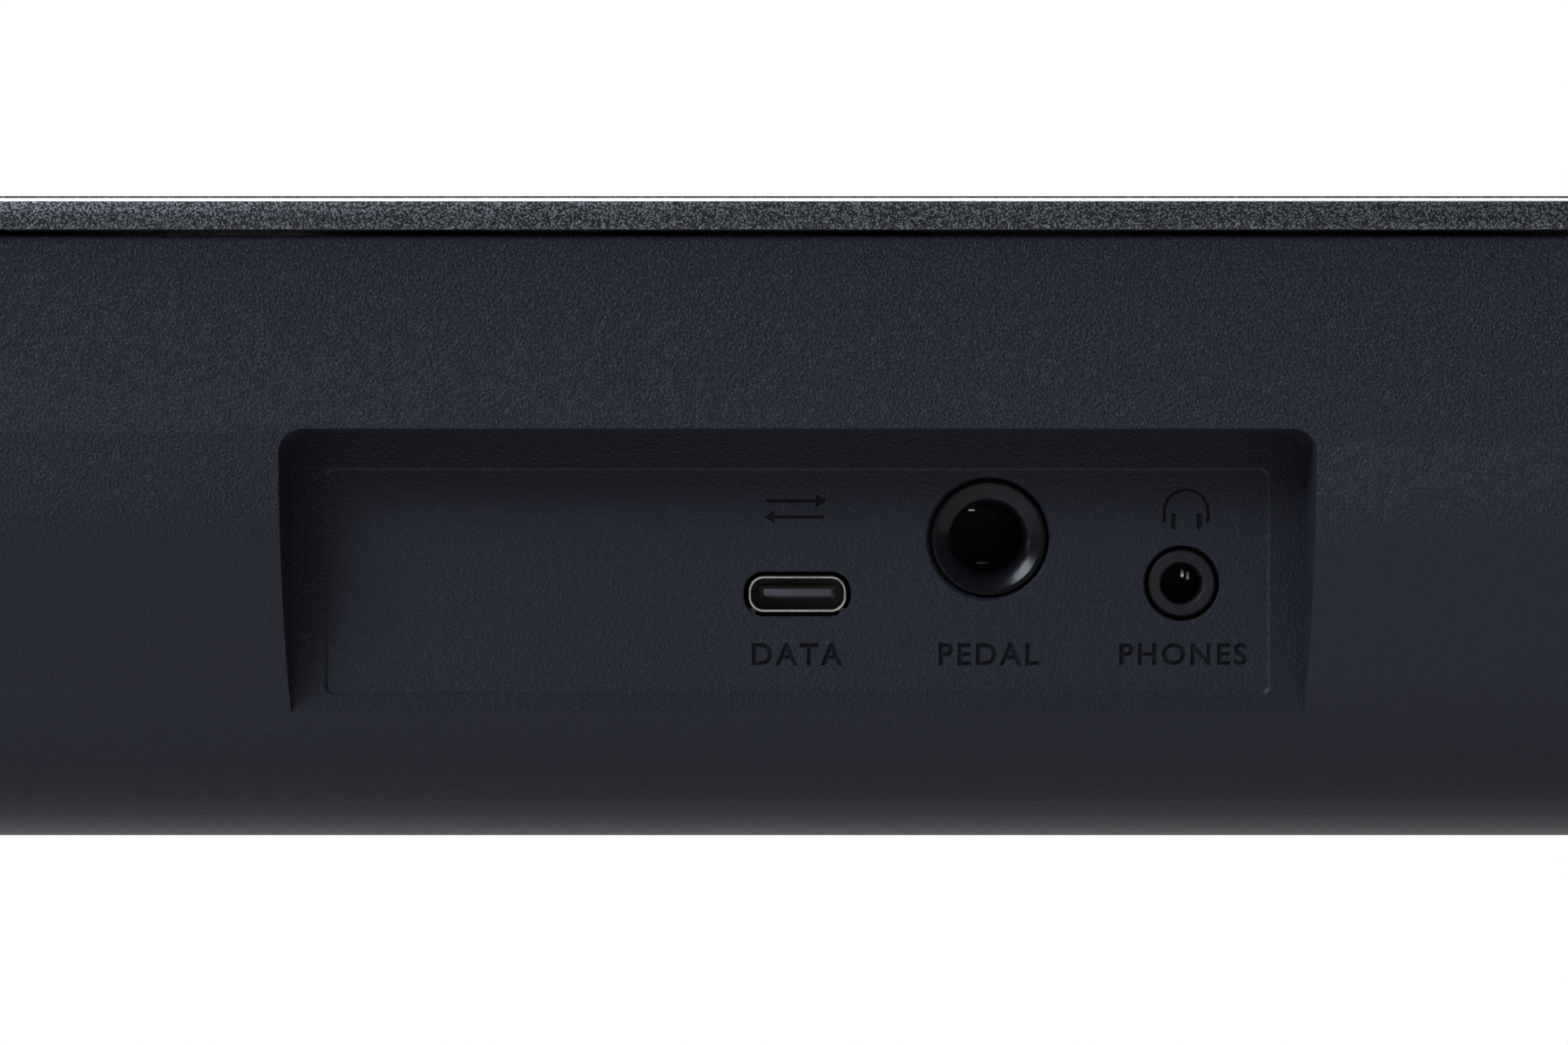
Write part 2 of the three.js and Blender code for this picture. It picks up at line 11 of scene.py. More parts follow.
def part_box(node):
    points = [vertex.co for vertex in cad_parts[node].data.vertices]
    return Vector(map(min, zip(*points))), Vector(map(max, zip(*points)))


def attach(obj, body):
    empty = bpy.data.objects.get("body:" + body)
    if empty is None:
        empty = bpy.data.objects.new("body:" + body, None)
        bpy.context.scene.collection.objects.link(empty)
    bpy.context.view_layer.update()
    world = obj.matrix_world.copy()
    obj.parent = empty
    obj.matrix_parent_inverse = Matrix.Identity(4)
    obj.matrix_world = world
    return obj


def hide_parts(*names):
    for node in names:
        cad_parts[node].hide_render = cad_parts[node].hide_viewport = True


bl_info = {
    "name": "Digital Piano on Stand",
    "version": (1, 0, 0),
    "blender": (4, 5, 0),
    "location": "View3D > Sidebar > Piano",
    "description": "Finished surfaces of a digital piano on a board stand, and a studio for it",
    "category": "Object",
}

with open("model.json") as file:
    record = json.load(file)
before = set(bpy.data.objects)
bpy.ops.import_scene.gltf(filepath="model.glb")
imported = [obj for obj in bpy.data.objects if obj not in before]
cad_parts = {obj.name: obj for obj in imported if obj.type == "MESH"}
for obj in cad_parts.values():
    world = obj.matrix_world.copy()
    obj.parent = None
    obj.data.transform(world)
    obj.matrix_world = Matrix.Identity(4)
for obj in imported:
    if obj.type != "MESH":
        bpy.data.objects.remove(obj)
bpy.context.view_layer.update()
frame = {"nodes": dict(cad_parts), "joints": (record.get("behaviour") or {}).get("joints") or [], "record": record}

# Shapes are worked out in millimetres and scaled once, when a piece is finished.
MM = 0.001
ROOT = "case_and_stand"


def node_box(node):
    """Lowest and highest corner of a CAD node, in millimetres."""
    low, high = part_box(node)
    return low / MM, high / MM


def middle_of(node):
    """Middle of a CAD node, in millimetres."""
    low, high = node_box(node)
    return (low + high) / 2


CASE_LOW, CASE_HIGH = node_box("lower_case")
PANEL_LOW, PANEL_HIGH = node_box("top_panel")
BASE = PANEL_HIGH.z - 58.3  # heights on the case are measured from here, just above its underside
UNDER = CASE_LOW.z
REAR = CASE_HIGH.y
OPENINGS = {o["name"]: o["box_m"] for o in frame["record"]["physics"]["openings"]}


def opening_middle(name, axis):
    """Middle of a stated opening along one axis, in millimetres."""
    low, high = OPENINGS[name]
    return (low[axis] + high[axis]) / 2 / MM


# Recess and connectors
RECESS_X = opening_middle("connector_recess", 0)
RECESS_FLOOR = node_box("pedal_jack")[1].y + 0.2
SUNKEN = 0.25
PEDAL_X, PEDAL_Z = opening_middle("pedal_socket", 0), opening_middle("pedal_socket", 2)
PHONES_X = sum(corner.x for corner in node_box("phones_jack")) / 2
PHONES_Z = node_box("phones_jack")[1].z - 3.7
PORT_X, PORT_Z = RECESS_X, node_box("data_port_shell")[1].z - 1.73

# Keys
FIELD = node_box("contact_strip")[1].x * 2
PITCH = FIELD / 52
KEY_FRONT = node_box("key_c_4")[0].y
KEY_LOW, KEY_TOP = node_box("key_c_4")[0].z, node_box("key_c_4")[1].z
BLACK_FRONT, BLACK_TOP = node_box("key_c_sharp_4")[0].y, node_box("key_c_sharp_4")[1].z
HINGE_Y = next(j for j in frame["joints"] if j["name"] == "key_c_4_press")["pos_m"][1] / MM
BLACK_SLOT = 13.7  # room for a black key between two tails
HEAD = 51  # length of a white key in front of the black ones
BLACK_SHOULDER = BASE + 50.5  # top of a black key's tail


# ---------------------------------------------------------------- sizes and colours
def length(name, words, default, low, high):
    """A size in metres that a user may change."""
    return FloatProperty(
        name=name, description=words, default=default, min=low, max=high, unit="LENGTH",
    )


def colour(name, words, default):
    """A colour in linear light that a user may change."""
    return FloatVectorProperty(
        name=name, description=words, subtype="COLOR", size=3, min=0, max=1, default=default,
    )


class CaseSizes(PropertyGroup):
    """Edges and wall of the moulded case and the top panel"""

    wall: length("Wall", "Thickness of the moulded wall", 0.0025, 0.0015, 0.004)
    rim: length(
        "Recess rim", "Rounding where the recess meets the rear wall", 0.00035, 0.0001, 0.001,
    )
    engraving: length("Engraving", "Depth of the words and signs", 0.00022, 0.00005, 0.0005)
    panel_edge: length("Panel edge", "Rounding of the panel's upper edge", 0.00045, 0.0001, 0.0012)
    block_edge: length("End block edge", "Rounding of the end blocks", 0.0016, 0.0003, 0.003)
    arc_steps: IntProperty(
        name="Arc steps", description="Strips in the curved tuck of the case",
        default=40, min=12, max=96,
    )


class KeySizes(PropertyGroup):
    """Rounding of the keys"""

    white_edge: length("White key edge", "Rounding of the top edges", 0.0006, 0.0002, 0.0015)
    black_edge: length("Black key edge", "Rounding of the top edges", 0.0012, 0.0004, 0.002)
    black_taper: length("Black key taper", "How much each side leans in", 0.0008, 0.0, 0.0015)


class StandSizes(PropertyGroup):
    """Edges of the stand's boards"""

    board_edge: length("Board edge", "Rounding of the boards' edges", 0.001, 0.0003, 0.003)


class PianoColours(PropertyGroup):
    """Colours of the finishes, in linear light"""

    case: colour("Case", "Moulded case", (0.0127, 0.0134, 0.0220))
    panel: colour("Top panel", "Lacquer between the metal flakes", (0.011, 0.012, 0.014))
    flake: colour("Metal flake", "Brightest flakes in the lacquer", (0.34, 0.36, 0.385))
    ivory: colour("White keys", "Ivory-white key tops", (0.80, 0.775, 0.70))
    ebony: colour("Black keys", "Ebony-textured key tops", (0.0075, 0.0072, 0.0075))
    laminate: colour("Stand", "Laminate on the boards", (0.0135, 0.013, 0.014))
    felt: colour("Felt", "Felt strip behind the keys", (0.16, 0.008, 0.012))
    print: colour("Print", "Words printed on the panel", (0.50, 0.52, 0.55))
    floor: colour("Floor", "Studio floor", (0.80, 0.80, 0.80))


class DigitalPiano(PropertyGroup):
    """Everything a user would change"""

    case: PointerProperty(type=CaseSizes)
    keys: PointerProperty(type=KeySizes)
    stand: PointerProperty(type=StandSizes)
    colours: PointerProperty(type=PianoColours)


# ---------------------------------------------------------------- shader writing
class Value:
    """A number coming out of a shader node, with Python arithmetic"""

    def __init__(self, recipe, socket):
        self.recipe = recipe
        self.socket = socket

    def math(self, operation, *others):
        return self.recipe.node("ShaderNodeMath", [self, *others], operation=operation)[0]

    def flipped(self, operation, other):
        return self.recipe.node("ShaderNodeMath", [other, self], operation=operation)[0]

    def __add__(self, other):
        return self.math("ADD", other)

    def __radd__(self, other):
        return self.flipped("ADD", other)

    def __sub__(self, other):
        return self.math("SUBTRACT", other)

    def __rsub__(self, other):
        return self.flipped("SUBTRACT", other)

    def __mul__(self, other):
        return self.math("MULTIPLY", other)

    def __rmul__(self, other):
        return self.flipped("MULTIPLY", other)

    def above(self, edge, width):
        """0 below the edge and 1 above it, with a soft step of that width."""
        step = self.recipe.node(
            "ShaderNodeMapRange",
            {"Value": self, "From Min": edge - width / 2, "From Max": edge + width / 2},
            interpolation_type="SMOOTHSTEP",
        )
        return step[0]


class Recipe:
    """A material that is written node by node"""

    def __init__(self, name):
        self.material = bpy.data.materials.new(name)
        self.material.use_nodes = True
        self.tree = self.material.node_tree
        self.shader = self.tree.nodes["Principled BSDF"]
        self.place = self.node("ShaderNodeTexCoord", {}, pick="Object")

    def node(self, kind, values, pick=None, **settings):
        """Adds a node, its settings first and then the values or links of its sockets."""
        made = self.tree.nodes.new(kind)
        for key, setting in settings.items():
            setattr(made, key, setting)
        pairs = enumerate(values) if isinstance(values, list) else values.items()
        for key, value in pairs:
            self.feed(made.inputs[key], value)
        if pick is not None:
            return Value(self, made.outputs[pick])
        return [Value(self, output) for output in made.outputs]

    def feed(self, socket, value):
        """Links a value to a socket, or sets the socket to a constant."""
        if isinstance(value, Value):
            self.tree.links.new(value.socket, socket)
        elif hasattr(value, "__len__") and socket.type == "RGBA" and len(value) == 3:
            socket.default_value = (*value, 1)
        else:
            socket.default_value = value

    def axis(self, name):
        """One coordinate, in metres."""
        return self.node("ShaderNodeSeparateXYZ", [self.place], pick=name)

    def painted_highlight_band(self):
        """1 where a surface leans back under an upper edge, 0 on its top and its upright sides; a highlight is
        painted there.
        """
        facing = self.node("ShaderNodeNewGeometry", {}, pick="Normal")
        up = self.node("ShaderNodeSeparateXYZ", [facing], pick="Z")
        return up.above(0.50, 0.12) * (1 - up.above(0.97, 0.03))

    def stretched(self, x, y, z):
        """Object coordinates scaled along each axis."""
        return self.node("ShaderNodeMapping", {"Vector": self.place, "Scale": (x, y, z)}, pick=0)

    def noise(self, size, detail, roughness=0.5, place=None):
        """Soft noise, 0 to 1, with features of about that size in metres."""
        return self.node(
            "ShaderNodeTexNoise",
            {
                "Vector": place or self.place, "Scale": 1 / size, "Detail": detail,
                "Roughness": roughness,
            },
            pick="Fac",
        )

    def cells(self, size, feature="F1", pick="Distance"):
        """Cell pattern with cells of about that size in metres."""
        return self.node(
            "ShaderNodeTexVoronoi", {"Vector": self.place, "Scale": 1 / size}, feature=feature,
            pick=pick,
        )

    def grey(self, tint):
        """Brightness of a colour output as a number."""
        return self.node("ShaderNodeRGBToBW", [tint], pick=0)

    def blend(self, amount, first, second):
        """Mixes two colours."""
        mixer = self.tree.nodes.new("ShaderNodeMix")
        mixer.data_type = "RGBA"
        for index, value in ((0, amount), (6, first), (7, second)):
            self.feed(mixer.inputs[index], value)
        return Value(self, mixer.outputs[2])

    def bump(self, height, distance, strength=1.0):
        """Normal bent by a height, in metres of relief."""
        values = {"Height": height, "Distance": distance, "Strength": strength}
        return self.node("ShaderNodeBump", values, pick=0)

    def finish(self, **sockets):
        """Sets the shader's sockets, with spaces in their names written as underscores."""
        for name, value in sockets.items():
            self.feed(self.shader.inputs[name.replace("_", " ")], value)
        return self.material


def shade(tint, factor):
    """A colour made lighter or darker."""
    return tuple(min(1.0, channel * factor) for channel in tint)


FINISHES = {}


def finish_of(name):
    """The finish of that name, made when it is first asked for."""
    if name not in FINISHES:
        FINISHES[name] = FINISH_MAKERS[name](Recipe(name), bpy.context.scene.digital_piano.colours)
    return FINISHES[name]


def pebbled(factor):
    """Maker of the dark moulding, finely pebbled, most along the top of its upright walls, with painted glints:
    the crests of the grain are coloured much brighter, most where the relief is strongest. A factor below 1 makes
    a darker copy of the moulding, used as painted shade.
    """

    def make(r, colours):
        grain = r.noise(0.00018, 2.0, 0.6)
        pebble = r.cells(0.00027, "SMOOTH_F1")
        patches = r.noise(0.05, 2.0)
        upright = r.axis("Y").above((REAR - 1.2) * MM, 0.0012)
        relief = upright * (r.axis("Z").above((BASE + 38) * MM, 0.030) * 0.85 + 0.12) + 0.2
        # Painted glints: the grain's crests are coloured much brighter, strongest along the top of the upright
        # walls where the relief is strongest
        painted_glint_crest = grain.above(0.57, 0.12)
        tint = r.blend(
            patches, shade(colours.case, 0.92 * factor), shade(colours.case, 1.08 * factor),
        )
        tint = r.blend(painted_glint_crest * relief * 0.8, tint, shade(colours.case, 3.8 * factor))
        return r.finish(
            Base_Color=tint,
            Roughness=0.48 + (patches - 0.5) * 0.06 - painted_glint_crest * relief * 0.16,
            Specular_IOR_Level=0.23,
            Normal=r.bump((grain * 0.8 + pebble * 0.5) * relief, 0.00052, 1.0),
        )

    return make


def flake_lacquer(r, colours):
    """Dark lacquer full of fine metal flakes, with a painted highlight along the rounded upper edge."""
    lot = r.grey(r.cells(0.00013, "F1", "Color"))
    fine = r.noise(0.00010, 2.0, 0.6)
    cloud = r.noise(0.004, 2.0)
    # Painted highlight: the rounded upper edge is coloured far brighter than the flakes
    line = r.painted_highlight_band()
    bright = lot.above(0.60, 0.2) * (fine.above(0.50, 0.14) * 0.6 + 0.25)
    tint = r.blend(cloud, shade(colours.panel, 0.85), shade(colours.panel, 1.15))
    tint = r.blend(bright, tint, colours.flake)
    return r.finish(
        Base_Color=r.blend(line * 0.9, tint, shade(colours.flake, 2.7)),
        Metallic=0.55 + bright * 0.4,
        Roughness=0.42 - bright * 0.08 - line * 0.12,
        Coat_Weight=0.15,
        Coat_Roughness=0.12,
        Normal=r.bump(lot + fine * 0.6, 0.00005, 0.8),
    )


def satin_moulding(r, colours):
    """Satin black moulding, a little scuffed."""
    grain = r.noise(0.0003, 2.0)
    scuff = r.noise(0.02, 4.0, 0.7).above(0.62, 0.2)
    return r.finish(
        Base_Color=r.blend(scuff, (0.011, 0.011, 0.0125), (0.016, 0.016, 0.018)),
        Roughness=0.42 + scuff * 0.1,
        Normal=r.bump(grain, 0.00004, 0.4),
    )


def nickel(r, colours):
    """Nickel plate with faint drawing lines and a little tarnish."""
    lines = r.noise(0.0002, 3.0, 0.6, r.stretched(0.2, 1, 1))
    tarnish = r.noise(0.0016, 3.0, 0.6).above(0.58, 0.25)
    return r.finish(
        Base_Color=r.blend(tarnish, (0.62, 0.60, 0.56), (0.33, 0.30, 0.26)),
        Metallic=1.0,
        Roughness=0.24 + lines * 0.14 + tarnish * 0.12,
        Normal=r.bump(lines, 0.00001, 0.3),
    )


def ivory(r, colours):
    """Ivory-white key top with a faint lengthwise grain."""
    veins = r.noise(0.0016, 4.0, 0.6, r.stretched(1, 0.06, 1))
    grain = r.noise(0.00035, 2.0, 0.5, r.stretched(1, 0.12, 1))
    wear = r.noise(0.03, 3.0)
    return r.finish(
        Base_Color=r.blend(
            veins * 0.7 + wear * 0.3, shade(colours.ivory, 0.965), shade(colours.ivory, 1.02),
        ),
        Roughness=0.24 + grain * 0.12 + wear * 0.05,
        Coat_Weight=0.15,
        Normal=r.bump(grain, 0.00002, 0.35),
    )


def ebony(r, colours):
    """Black key top with a fine open grain."""
    pores = r.noise(0.0006, 4.0, 0.65, r.stretched(1, 0.05, 1))
    open_pore = pores.above(0.58, 0.14)
    polish = r.noise(0.012, 2.0)
    return r.finish(
        Base_Color=r.blend(open_pore, colours.ebony, shade(colours.ebony, 1.9)),
        Roughness=0.36 + open_pore * 0.16 + polish * 0.06,
        Normal=r.bump(pores, 0.00005, 0.5),
    )


def laminate(direction):
    """Maker of a black laminate with an embossed wood grain along one axis."""
    scales = [0.035 if axis == direction else 1 for axis in "xyz"]

    def make(r, colours):
        along = r.stretched(*scales)
        sweep = r.noise(0.018, 3.0, 0.5, along)
        pores = r.noise(0.0016, 4.0, 0.6, along)
        pore = pores.above(0.57, 0.1)
        scuff = r.noise(0.09, 4.0, 0.7).above(0.60, 0.25)
        tint = r.blend(sweep, shade(colours.laminate, 0.8), shade(colours.laminate, 1.35))
        tint = r.blend(pore * 0.6, tint, shade(colours.laminate, 0.45))
        return r.finish(
            Base_Color=tint,
            Roughness=0.40 + pore * 0.2 + scuff * 0.08,
            Normal=r.bump(sweep * 0.3 - pore * 0.7, 0.00012, 0.6),
        )

    return make


def rubber(r, colours):
    """Black rubber, dusty in patches."""
    dust = r.noise(0.006, 4.0, 0.7).above(0.55, 0.3)
    grain = r.noise(0.0005, 2.0)
    return r.finish(
        Base_Color=r.blend(dust, (0.013, 0.013, 0.013), (0.028, 0.027, 0.026)),
        Roughness=0.74 + dust * 0.12,
        Normal=r.bump(grain, 0.00006, 0.5),
    )


def turned_metal(r, colours):
    """Dark turned metal of the knob, with rings from the lathe."""
    low, high = node_box("volume_knob")
    middle = (low + high) / 2 * MM
    centred = r.node(
        "ShaderNodeMapping", {"Vector": r.place, "Location": (-middle.x, -middle.y, 0)}, pick=0,
    )
    rings = r.node(
        "ShaderNodeTexWave", {"Vector": centred, "Scale": 900.0, "Distortion": 0.4, "Detail": 1.0},
        wave_type="RINGS", rings_direction="Z", pick="Fac",
    )
    rub = r.noise(0.004, 3.0)
    return r.finish(
        Base_Color=r.blend(rub, (0.10, 0.105, 0.115), (0.15, 0.155, 0.165)),
        Metallic=1.0,
        Roughness=0.26 + rings * 0.08 + rub * 0.06,
        Normal=r.bump(rings, 0.000012, 0.5),
    )


def circuit_board(r, colours):
    """Green solder mask with tracks showing through."""
    tracks = r.cells(0.0045, "DISTANCE_TO_EDGE").above(0.06, 0.02)
    return r.finish(
        Base_Color=r.blend(tracks, (0.03, 0.16, 0.07), (0.012, 0.075, 0.035)),
        Roughness=0.35 + tracks * 0.1,
    )


def felt(r, colours):
    """Pressed wool felt."""
    nap = r.noise(0.0009, 4.0, 0.75)
    return r.finish(
        Base_Color=r.blend(nap, shade(colours.felt, 0.6), shade(colours.felt, 1.4)),
        Roughness=0.9,
        Sheen_Weight=0.4,
        Normal=r.bump(nap, 0.0003, 0.8),
    )


def lit_lens(r, colours):
    """Small lamp lens, lit white."""
    glow = r.noise(0.0008, 1.0)
    return r.finish(
        Base_Color=(0.5, 0.5, 0.5),
        Emission_Color=r.blend(glow, (0.55, 0.8, 1.0), (0.8, 0.93, 1.0)),
        Emission_Strength=1.2,
        Roughness=0.2,
    )


def studio_floor(r, colours):
    """Pale floor that fades into the white surround."""
    mottling = r.noise(0.4, 3.0)
    tint = r.blend(mottling, shade(colours.floor, 0.985), colours.floor)
    distance = r.node("ShaderNodeVectorMath", [r.place], operation="LENGTH", pick="Value")
    out_there = distance.above(2.7, 3.9)
    r.finish(Base_Color=tint, Roughness=0.62, Specular_IOR_Level=0.25)
    white = r.tree.nodes.new("ShaderNodeEmission")
    white.inputs["Color"].default_value = (1, 1, 1, 1)
    white.inputs["Strength"].default_value = 1.0
    mixer = r.tree.nodes.new("ShaderNodeMixShader")
    r.feed(mixer.inputs[0], out_there)
    r.tree.links.new(r.shader.outputs[0], mixer.inputs[1])
    r.tree.links.new(white.outputs[0], mixer.inputs[2])
    r.tree.links.new(mixer.outputs[0], r.tree.nodes["Material Output"].inputs["Surface"])
    return r.material


def plain(noise, tints, gloss, relief=None, **sockets):
    """Maker of a finish that one noise drives: its tint, its roughness and its relief.

    The tints are two colours, or a function that takes the user's colours and returns two.
    """

    def make(r, colours):
        grain = r.noise(*noise)
        darkest, lightest = tints(colours) if callable(tints) else tints
        bent = {"Normal": r.bump(grain, *relief)} if relief else {}
        return r.finish(
            Base_Color=r.blend(grain, darkest, lightest), Roughness=gloss[0] + grain * gloss[1],
            **bent, **sockets,
        )

    return make


FINISH_MAKERS = {
    maker.__name__: maker
    for maker in (
        flake_lacquer, satin_moulding, nickel, ivory, ebony, rubber, turned_metal, circuit_board,
        felt, lit_lens, studio_floor,
    )
}
FINISH_MAKERS.update({f"laminate_along_{axis}": laminate(axis) for axis in "xyz"})
FINISH_MAKERS.update({
    "pebbled_case": pebbled(1.0),
    # Painted shade: a darker copy of the case's finish for the recess floor around the sunken pane
    "recess_margin": pebbled(0.78),
    # Painted shadow: the floor of the engraved words and signs, coloured far darker than the case
    "engraving": plain(
        (0.0003, 2.0), lambda c: (shade(c.case, 0.22), shade(c.case, 0.34)), (0.62, 0.1),
        Specular_IOR_Level=0.2,
    ),
    # Glossy black moulding of the big jack
    "jack_plastic": plain(
        (0.0012, 3.0, 0.6), ((0.0035, 0.0037, 0.0050), (0.006, 0.0062, 0.0085)), (0.19, 0.08),
        (0.00003, 0.25), Specular_IOR_Level=0.2,
    ),
    # Matt black moulding of the small jack
    "matt_ring": plain(
        (0.00025, 2.0), ((0.006, 0.0062, 0.0085), (0.010, 0.0105, 0.013)), (0.50, 0.1),
        (0.00003, 0.3), Specular_IOR_Level=0.3,
    ),
    # Thin gold plate
    "contact_gold": plain(
        (0.0008, 2.0), ((0.72, 0.48, 0.17), (0.82, 0.60, 0.28)), (0.25, 0.1), Metallic=1.0,
    ),
    # Grey moulding inside the data port
    "port_plastic": plain((0.0003, 2.0), ((0.035, 0.035, 0.042), (0.05, 0.05, 0.058)), (0.45, 0.1)),
    # Black powder coat with its orange-peel skin
    "powder_coat": plain(
        (0.0014, 2.0), ((0.011, 0.011, 0.012), (0.017, 0.017, 0.018)), (0.38, 0.1), (0.00008, 0.5),
    ),
    # Zinc-plated steel with its cloudy passivation
    "zinc": plain(
        (0.004, 3.0, 0.6), ((0.50, 0.51, 0.52), (0.62, 0.61, 0.57)), (0.30, 0.15), Metallic=1.0,
    ),
    # Black lacquered sheet steel
    "grille_steel": plain(
        (0.0008, 2.0), ((0.010, 0.010, 0.011), (0.018, 0.018, 0.020)), (0.32, 0.12), (0.00003, 0.4),
    ),
    # Pressed paper with visible fibres
    "speaker_cone": plain(
        (0.0012, 4.0, 0.7), ((0.010, 0.010, 0.010), (0.022, 0.021, 0.020)), (0.75, 0.15),
        (0.00008, 0.5),
    ),
    # Black moulded chassis under the keys
    "chassis_plastic": plain(
        (0.03, 3.0), ((0.010, 0.010, 0.011), (0.018, 0.018, 0.019)), (0.5, 0.1),
    ),
    # Dark silicone of the key contacts
    "contact_rubber": plain(
        (0.008, 3.0), ((0.028, 0.028, 0.03), (0.045, 0.045, 0.047)), (0.65, 0.1),
    ),
    # Silver-grey ink on the panel
    "printed_ink": plain((0.0002, 2.0), lambda c: (shade(c.print, 0.85), c.print), (0.5, 0.1)),
})


# ---------------------------------------------------------------- shapes
# Each plane names its first and second axis; the third is the one a shape is pushed along.
PLANES = {
    "XY": lambda u, v, w: Vector((u, v, w)),
    "YZ": lambda u, v, w: Vector((w, u, v)),
    "XZ": lambda u, v, w: Vector((u, w, v)),
}
AXIS_TURNS = {
    "Z": Matrix.Identity(4),
    "Y": Matrix.Rotation(-math.pi / 2, 4, "X"),
    "X": Matrix.Rotation(math.pi / 2, 4, "Y"),
}


def rounded_rect(cu, cv, width, height, radius, steps):
    """Points round a rectangle with rounded corners."""
    points = []
    for su, sv, start in ((1, -1, -90), (1, 1, 0), (-1, 1, 90), (-1, -1, 180)):
        mu, mv = cu + su * (width / 2 - radius), cv + sv * (height / 2 - radius)
        for i in range(steps + 1):
            a = math.radians(start + 90 * i / steps)
            points.append((mu + radius * math.cos(a), mv + radius * math.sin(a)))
    return points


def arc(cu, cv, ru, rv, start, end, steps):
    """Points along an elliptical arc, with its angles in degrees."""
    angles = [math.radians(start + (end - start) * i / steps) for i in range(steps + 1)]
    return [(cu + ru * math.cos(a), cv + rv * math.sin(a)) for a in angles]


def prism(points, low, high, plane="XY"):
    """A flat outline pushed along its third axis."""
    place = PLANES[plane]
    bm = bmesh.new()
    face = bm.faces.new([bm.verts.new(place(u, v, low)) for u, v in points])
    pushed = bmesh.ops.extrude_face_region(bm, geom=[face])
    moving = [e for e in pushed["geom"] if isinstance(e, bmesh.types.BMVert)]
    bmesh.ops.translate(bm, verts=moving, vec=place(0, 0, high - low))
    bmesh.ops.recalc_face_normals(bm, faces=bm.faces)
    return bm


def slab(cu, cv, width, height, radius, steps, low, high, plane="XY"):
    """A rectangle with rounded corners, pushed along its third axis."""
    return prism(rounded_rect(cu, cv, width, height, radius, steps), low, high, plane)


def brick(low, high):
    """A box between two corners."""
    (x0, y0, z0), (x1, y1, z1) = low, high
    return prism([(x0, y0), (x1, y0), (x1, y1), (x0, y1)], z0, z1)


def peg(radius, low, high, centre, axis="Z", steps=48):
    """A round tool between two heights."""
    return turned([(0, low), (radius, low), (radius, high), (0, high)], centre, axis, steps)


def turned(profile, centre, axis="Z", steps=48, ring=False):
    """A profile of radius and height, spun round an axis. A ring's profile closes on itself."""
    bm = bmesh.new()
    verts = [bm.verts.new((radius, 0, height)) for radius, height in profile]
    pairs = list(zip(verts, verts[1:] + verts[:1] if ring else verts[1:]))
    edges = [bm.edges.new(pair) for pair in pairs if pair[0].co.x or pair[1].co.x]
    bmesh.ops.spin(
        bm, geom=verts + edges, cent=(0, 0, 0), axis=(0, 0, 1), dvec=(0, 0, 0),
        angle=2 * math.pi, steps=steps, use_merge=True, use_duplicate=False,
    )
    bmesh.ops.remove_doubles(bm, verts=bm.verts, dist=1e-4)
    bmesh.ops.recalc_face_normals(bm, faces=bm.faces)
    bmesh.ops.transform(bm, matrix=Matrix.Translation(centre) @ AXIS_TURNS[axis], verts=bm.verts)
    return bm


def flare(bm, axis, beyond, centre, factors):
    """Widens the end of a tool, so that the hole it cuts has a chamfered mouth."""
    ends = [v for v in bm.verts if v.co[axis] > beyond]
    bmesh.ops.scale(bm, vec=factors, space=Matrix.Translation(-Vector(centre)), verts=ends)
    return bm


def soften(bm, test, width, steps=3):
    """Rounds the edges that pass a test."""
    chosen = [e for e in bm.edges if test(e)]
    bmesh.ops.bevel(
        bm, geom=chosen, offset=width, offset_type="OFFSET", segments=steps, profile=0.5,
        affect="EDGES", clamp_overlap=True, material=-1,
    )
    return bm


def at(axis, level, near=1e-3):
    """Test for edges that lie at one level of an axis."""
    return lambda e: all(abs(v.co[axis] - level) < near for v in e.verts)


def sharp(angle=30):
    """Test for edges whose two faces meet at more than an angle."""
    limit = math.radians(angle)
    return lambda e: len(e.link_faces) == 2 and e.calc_face_angle(0) > limit


def slice_at(bm, place, normal):
    """Cuts the faces of a shape along a plane, and keeps both sides."""
    bmesh.ops.bisect_plane(
        bm, geom=[*bm.verts, *bm.edges, *bm.faces], dist=1e-4, plane_co=place, plane_no=normal,
    )


def knurl(bm, steps, rim, chosen, factor):
    """Pulls in the chosen columns of a shape turned about the origin, where it passes a test."""
    for v in bm.verts:
        column = round(math.atan2(v.co.y, v.co.x) / (2 * math.pi / steps))
        if rim(math.hypot(v.co.x, v.co.y), v.co.z) and chosen(column):
            v.co.x *= factor
            v.co.y *= factor


def place_at(bm, x, y, z=0):
    """Moves a shape."""
    bmesh.ops.translate(bm, vec=(x, y, z), verts=bm.verts)
    return bm


def as_object(name, bm):
    """A scene object that holds a shape."""
    mesh = bpy.data.meshes.new(name)
    bm.to_mesh(mesh)
    bm.free()
    made = bpy.data.objects.new(name, mesh)
    bpy.context.scene.collection.objects.link(made)
    return made


def drop(*objects):
    """Removes objects and their data."""
    for gone in objects:
        data = gone.data
        bpy.data.objects.remove(gone)
        if data.users == 0:
            (bpy.data.meshes if isinstance(data, bpy.types.Mesh) else bpy.data.curves).remove(data)


def evaluated(made):
    """The mesh of an object with its modifiers applied, as a bmesh."""
    depsgraph = bpy.context.evaluated_depsgraph_get()
    depsgraph.update()
    mesh = bpy.data.meshes.new_from_object(made.evaluated_get(depsgraph), depsgraph=depsgraph)
    bm = bmesh.new()
    bm.from_mesh(mesh)
    bpy.data.meshes.remove(mesh)
    return bm


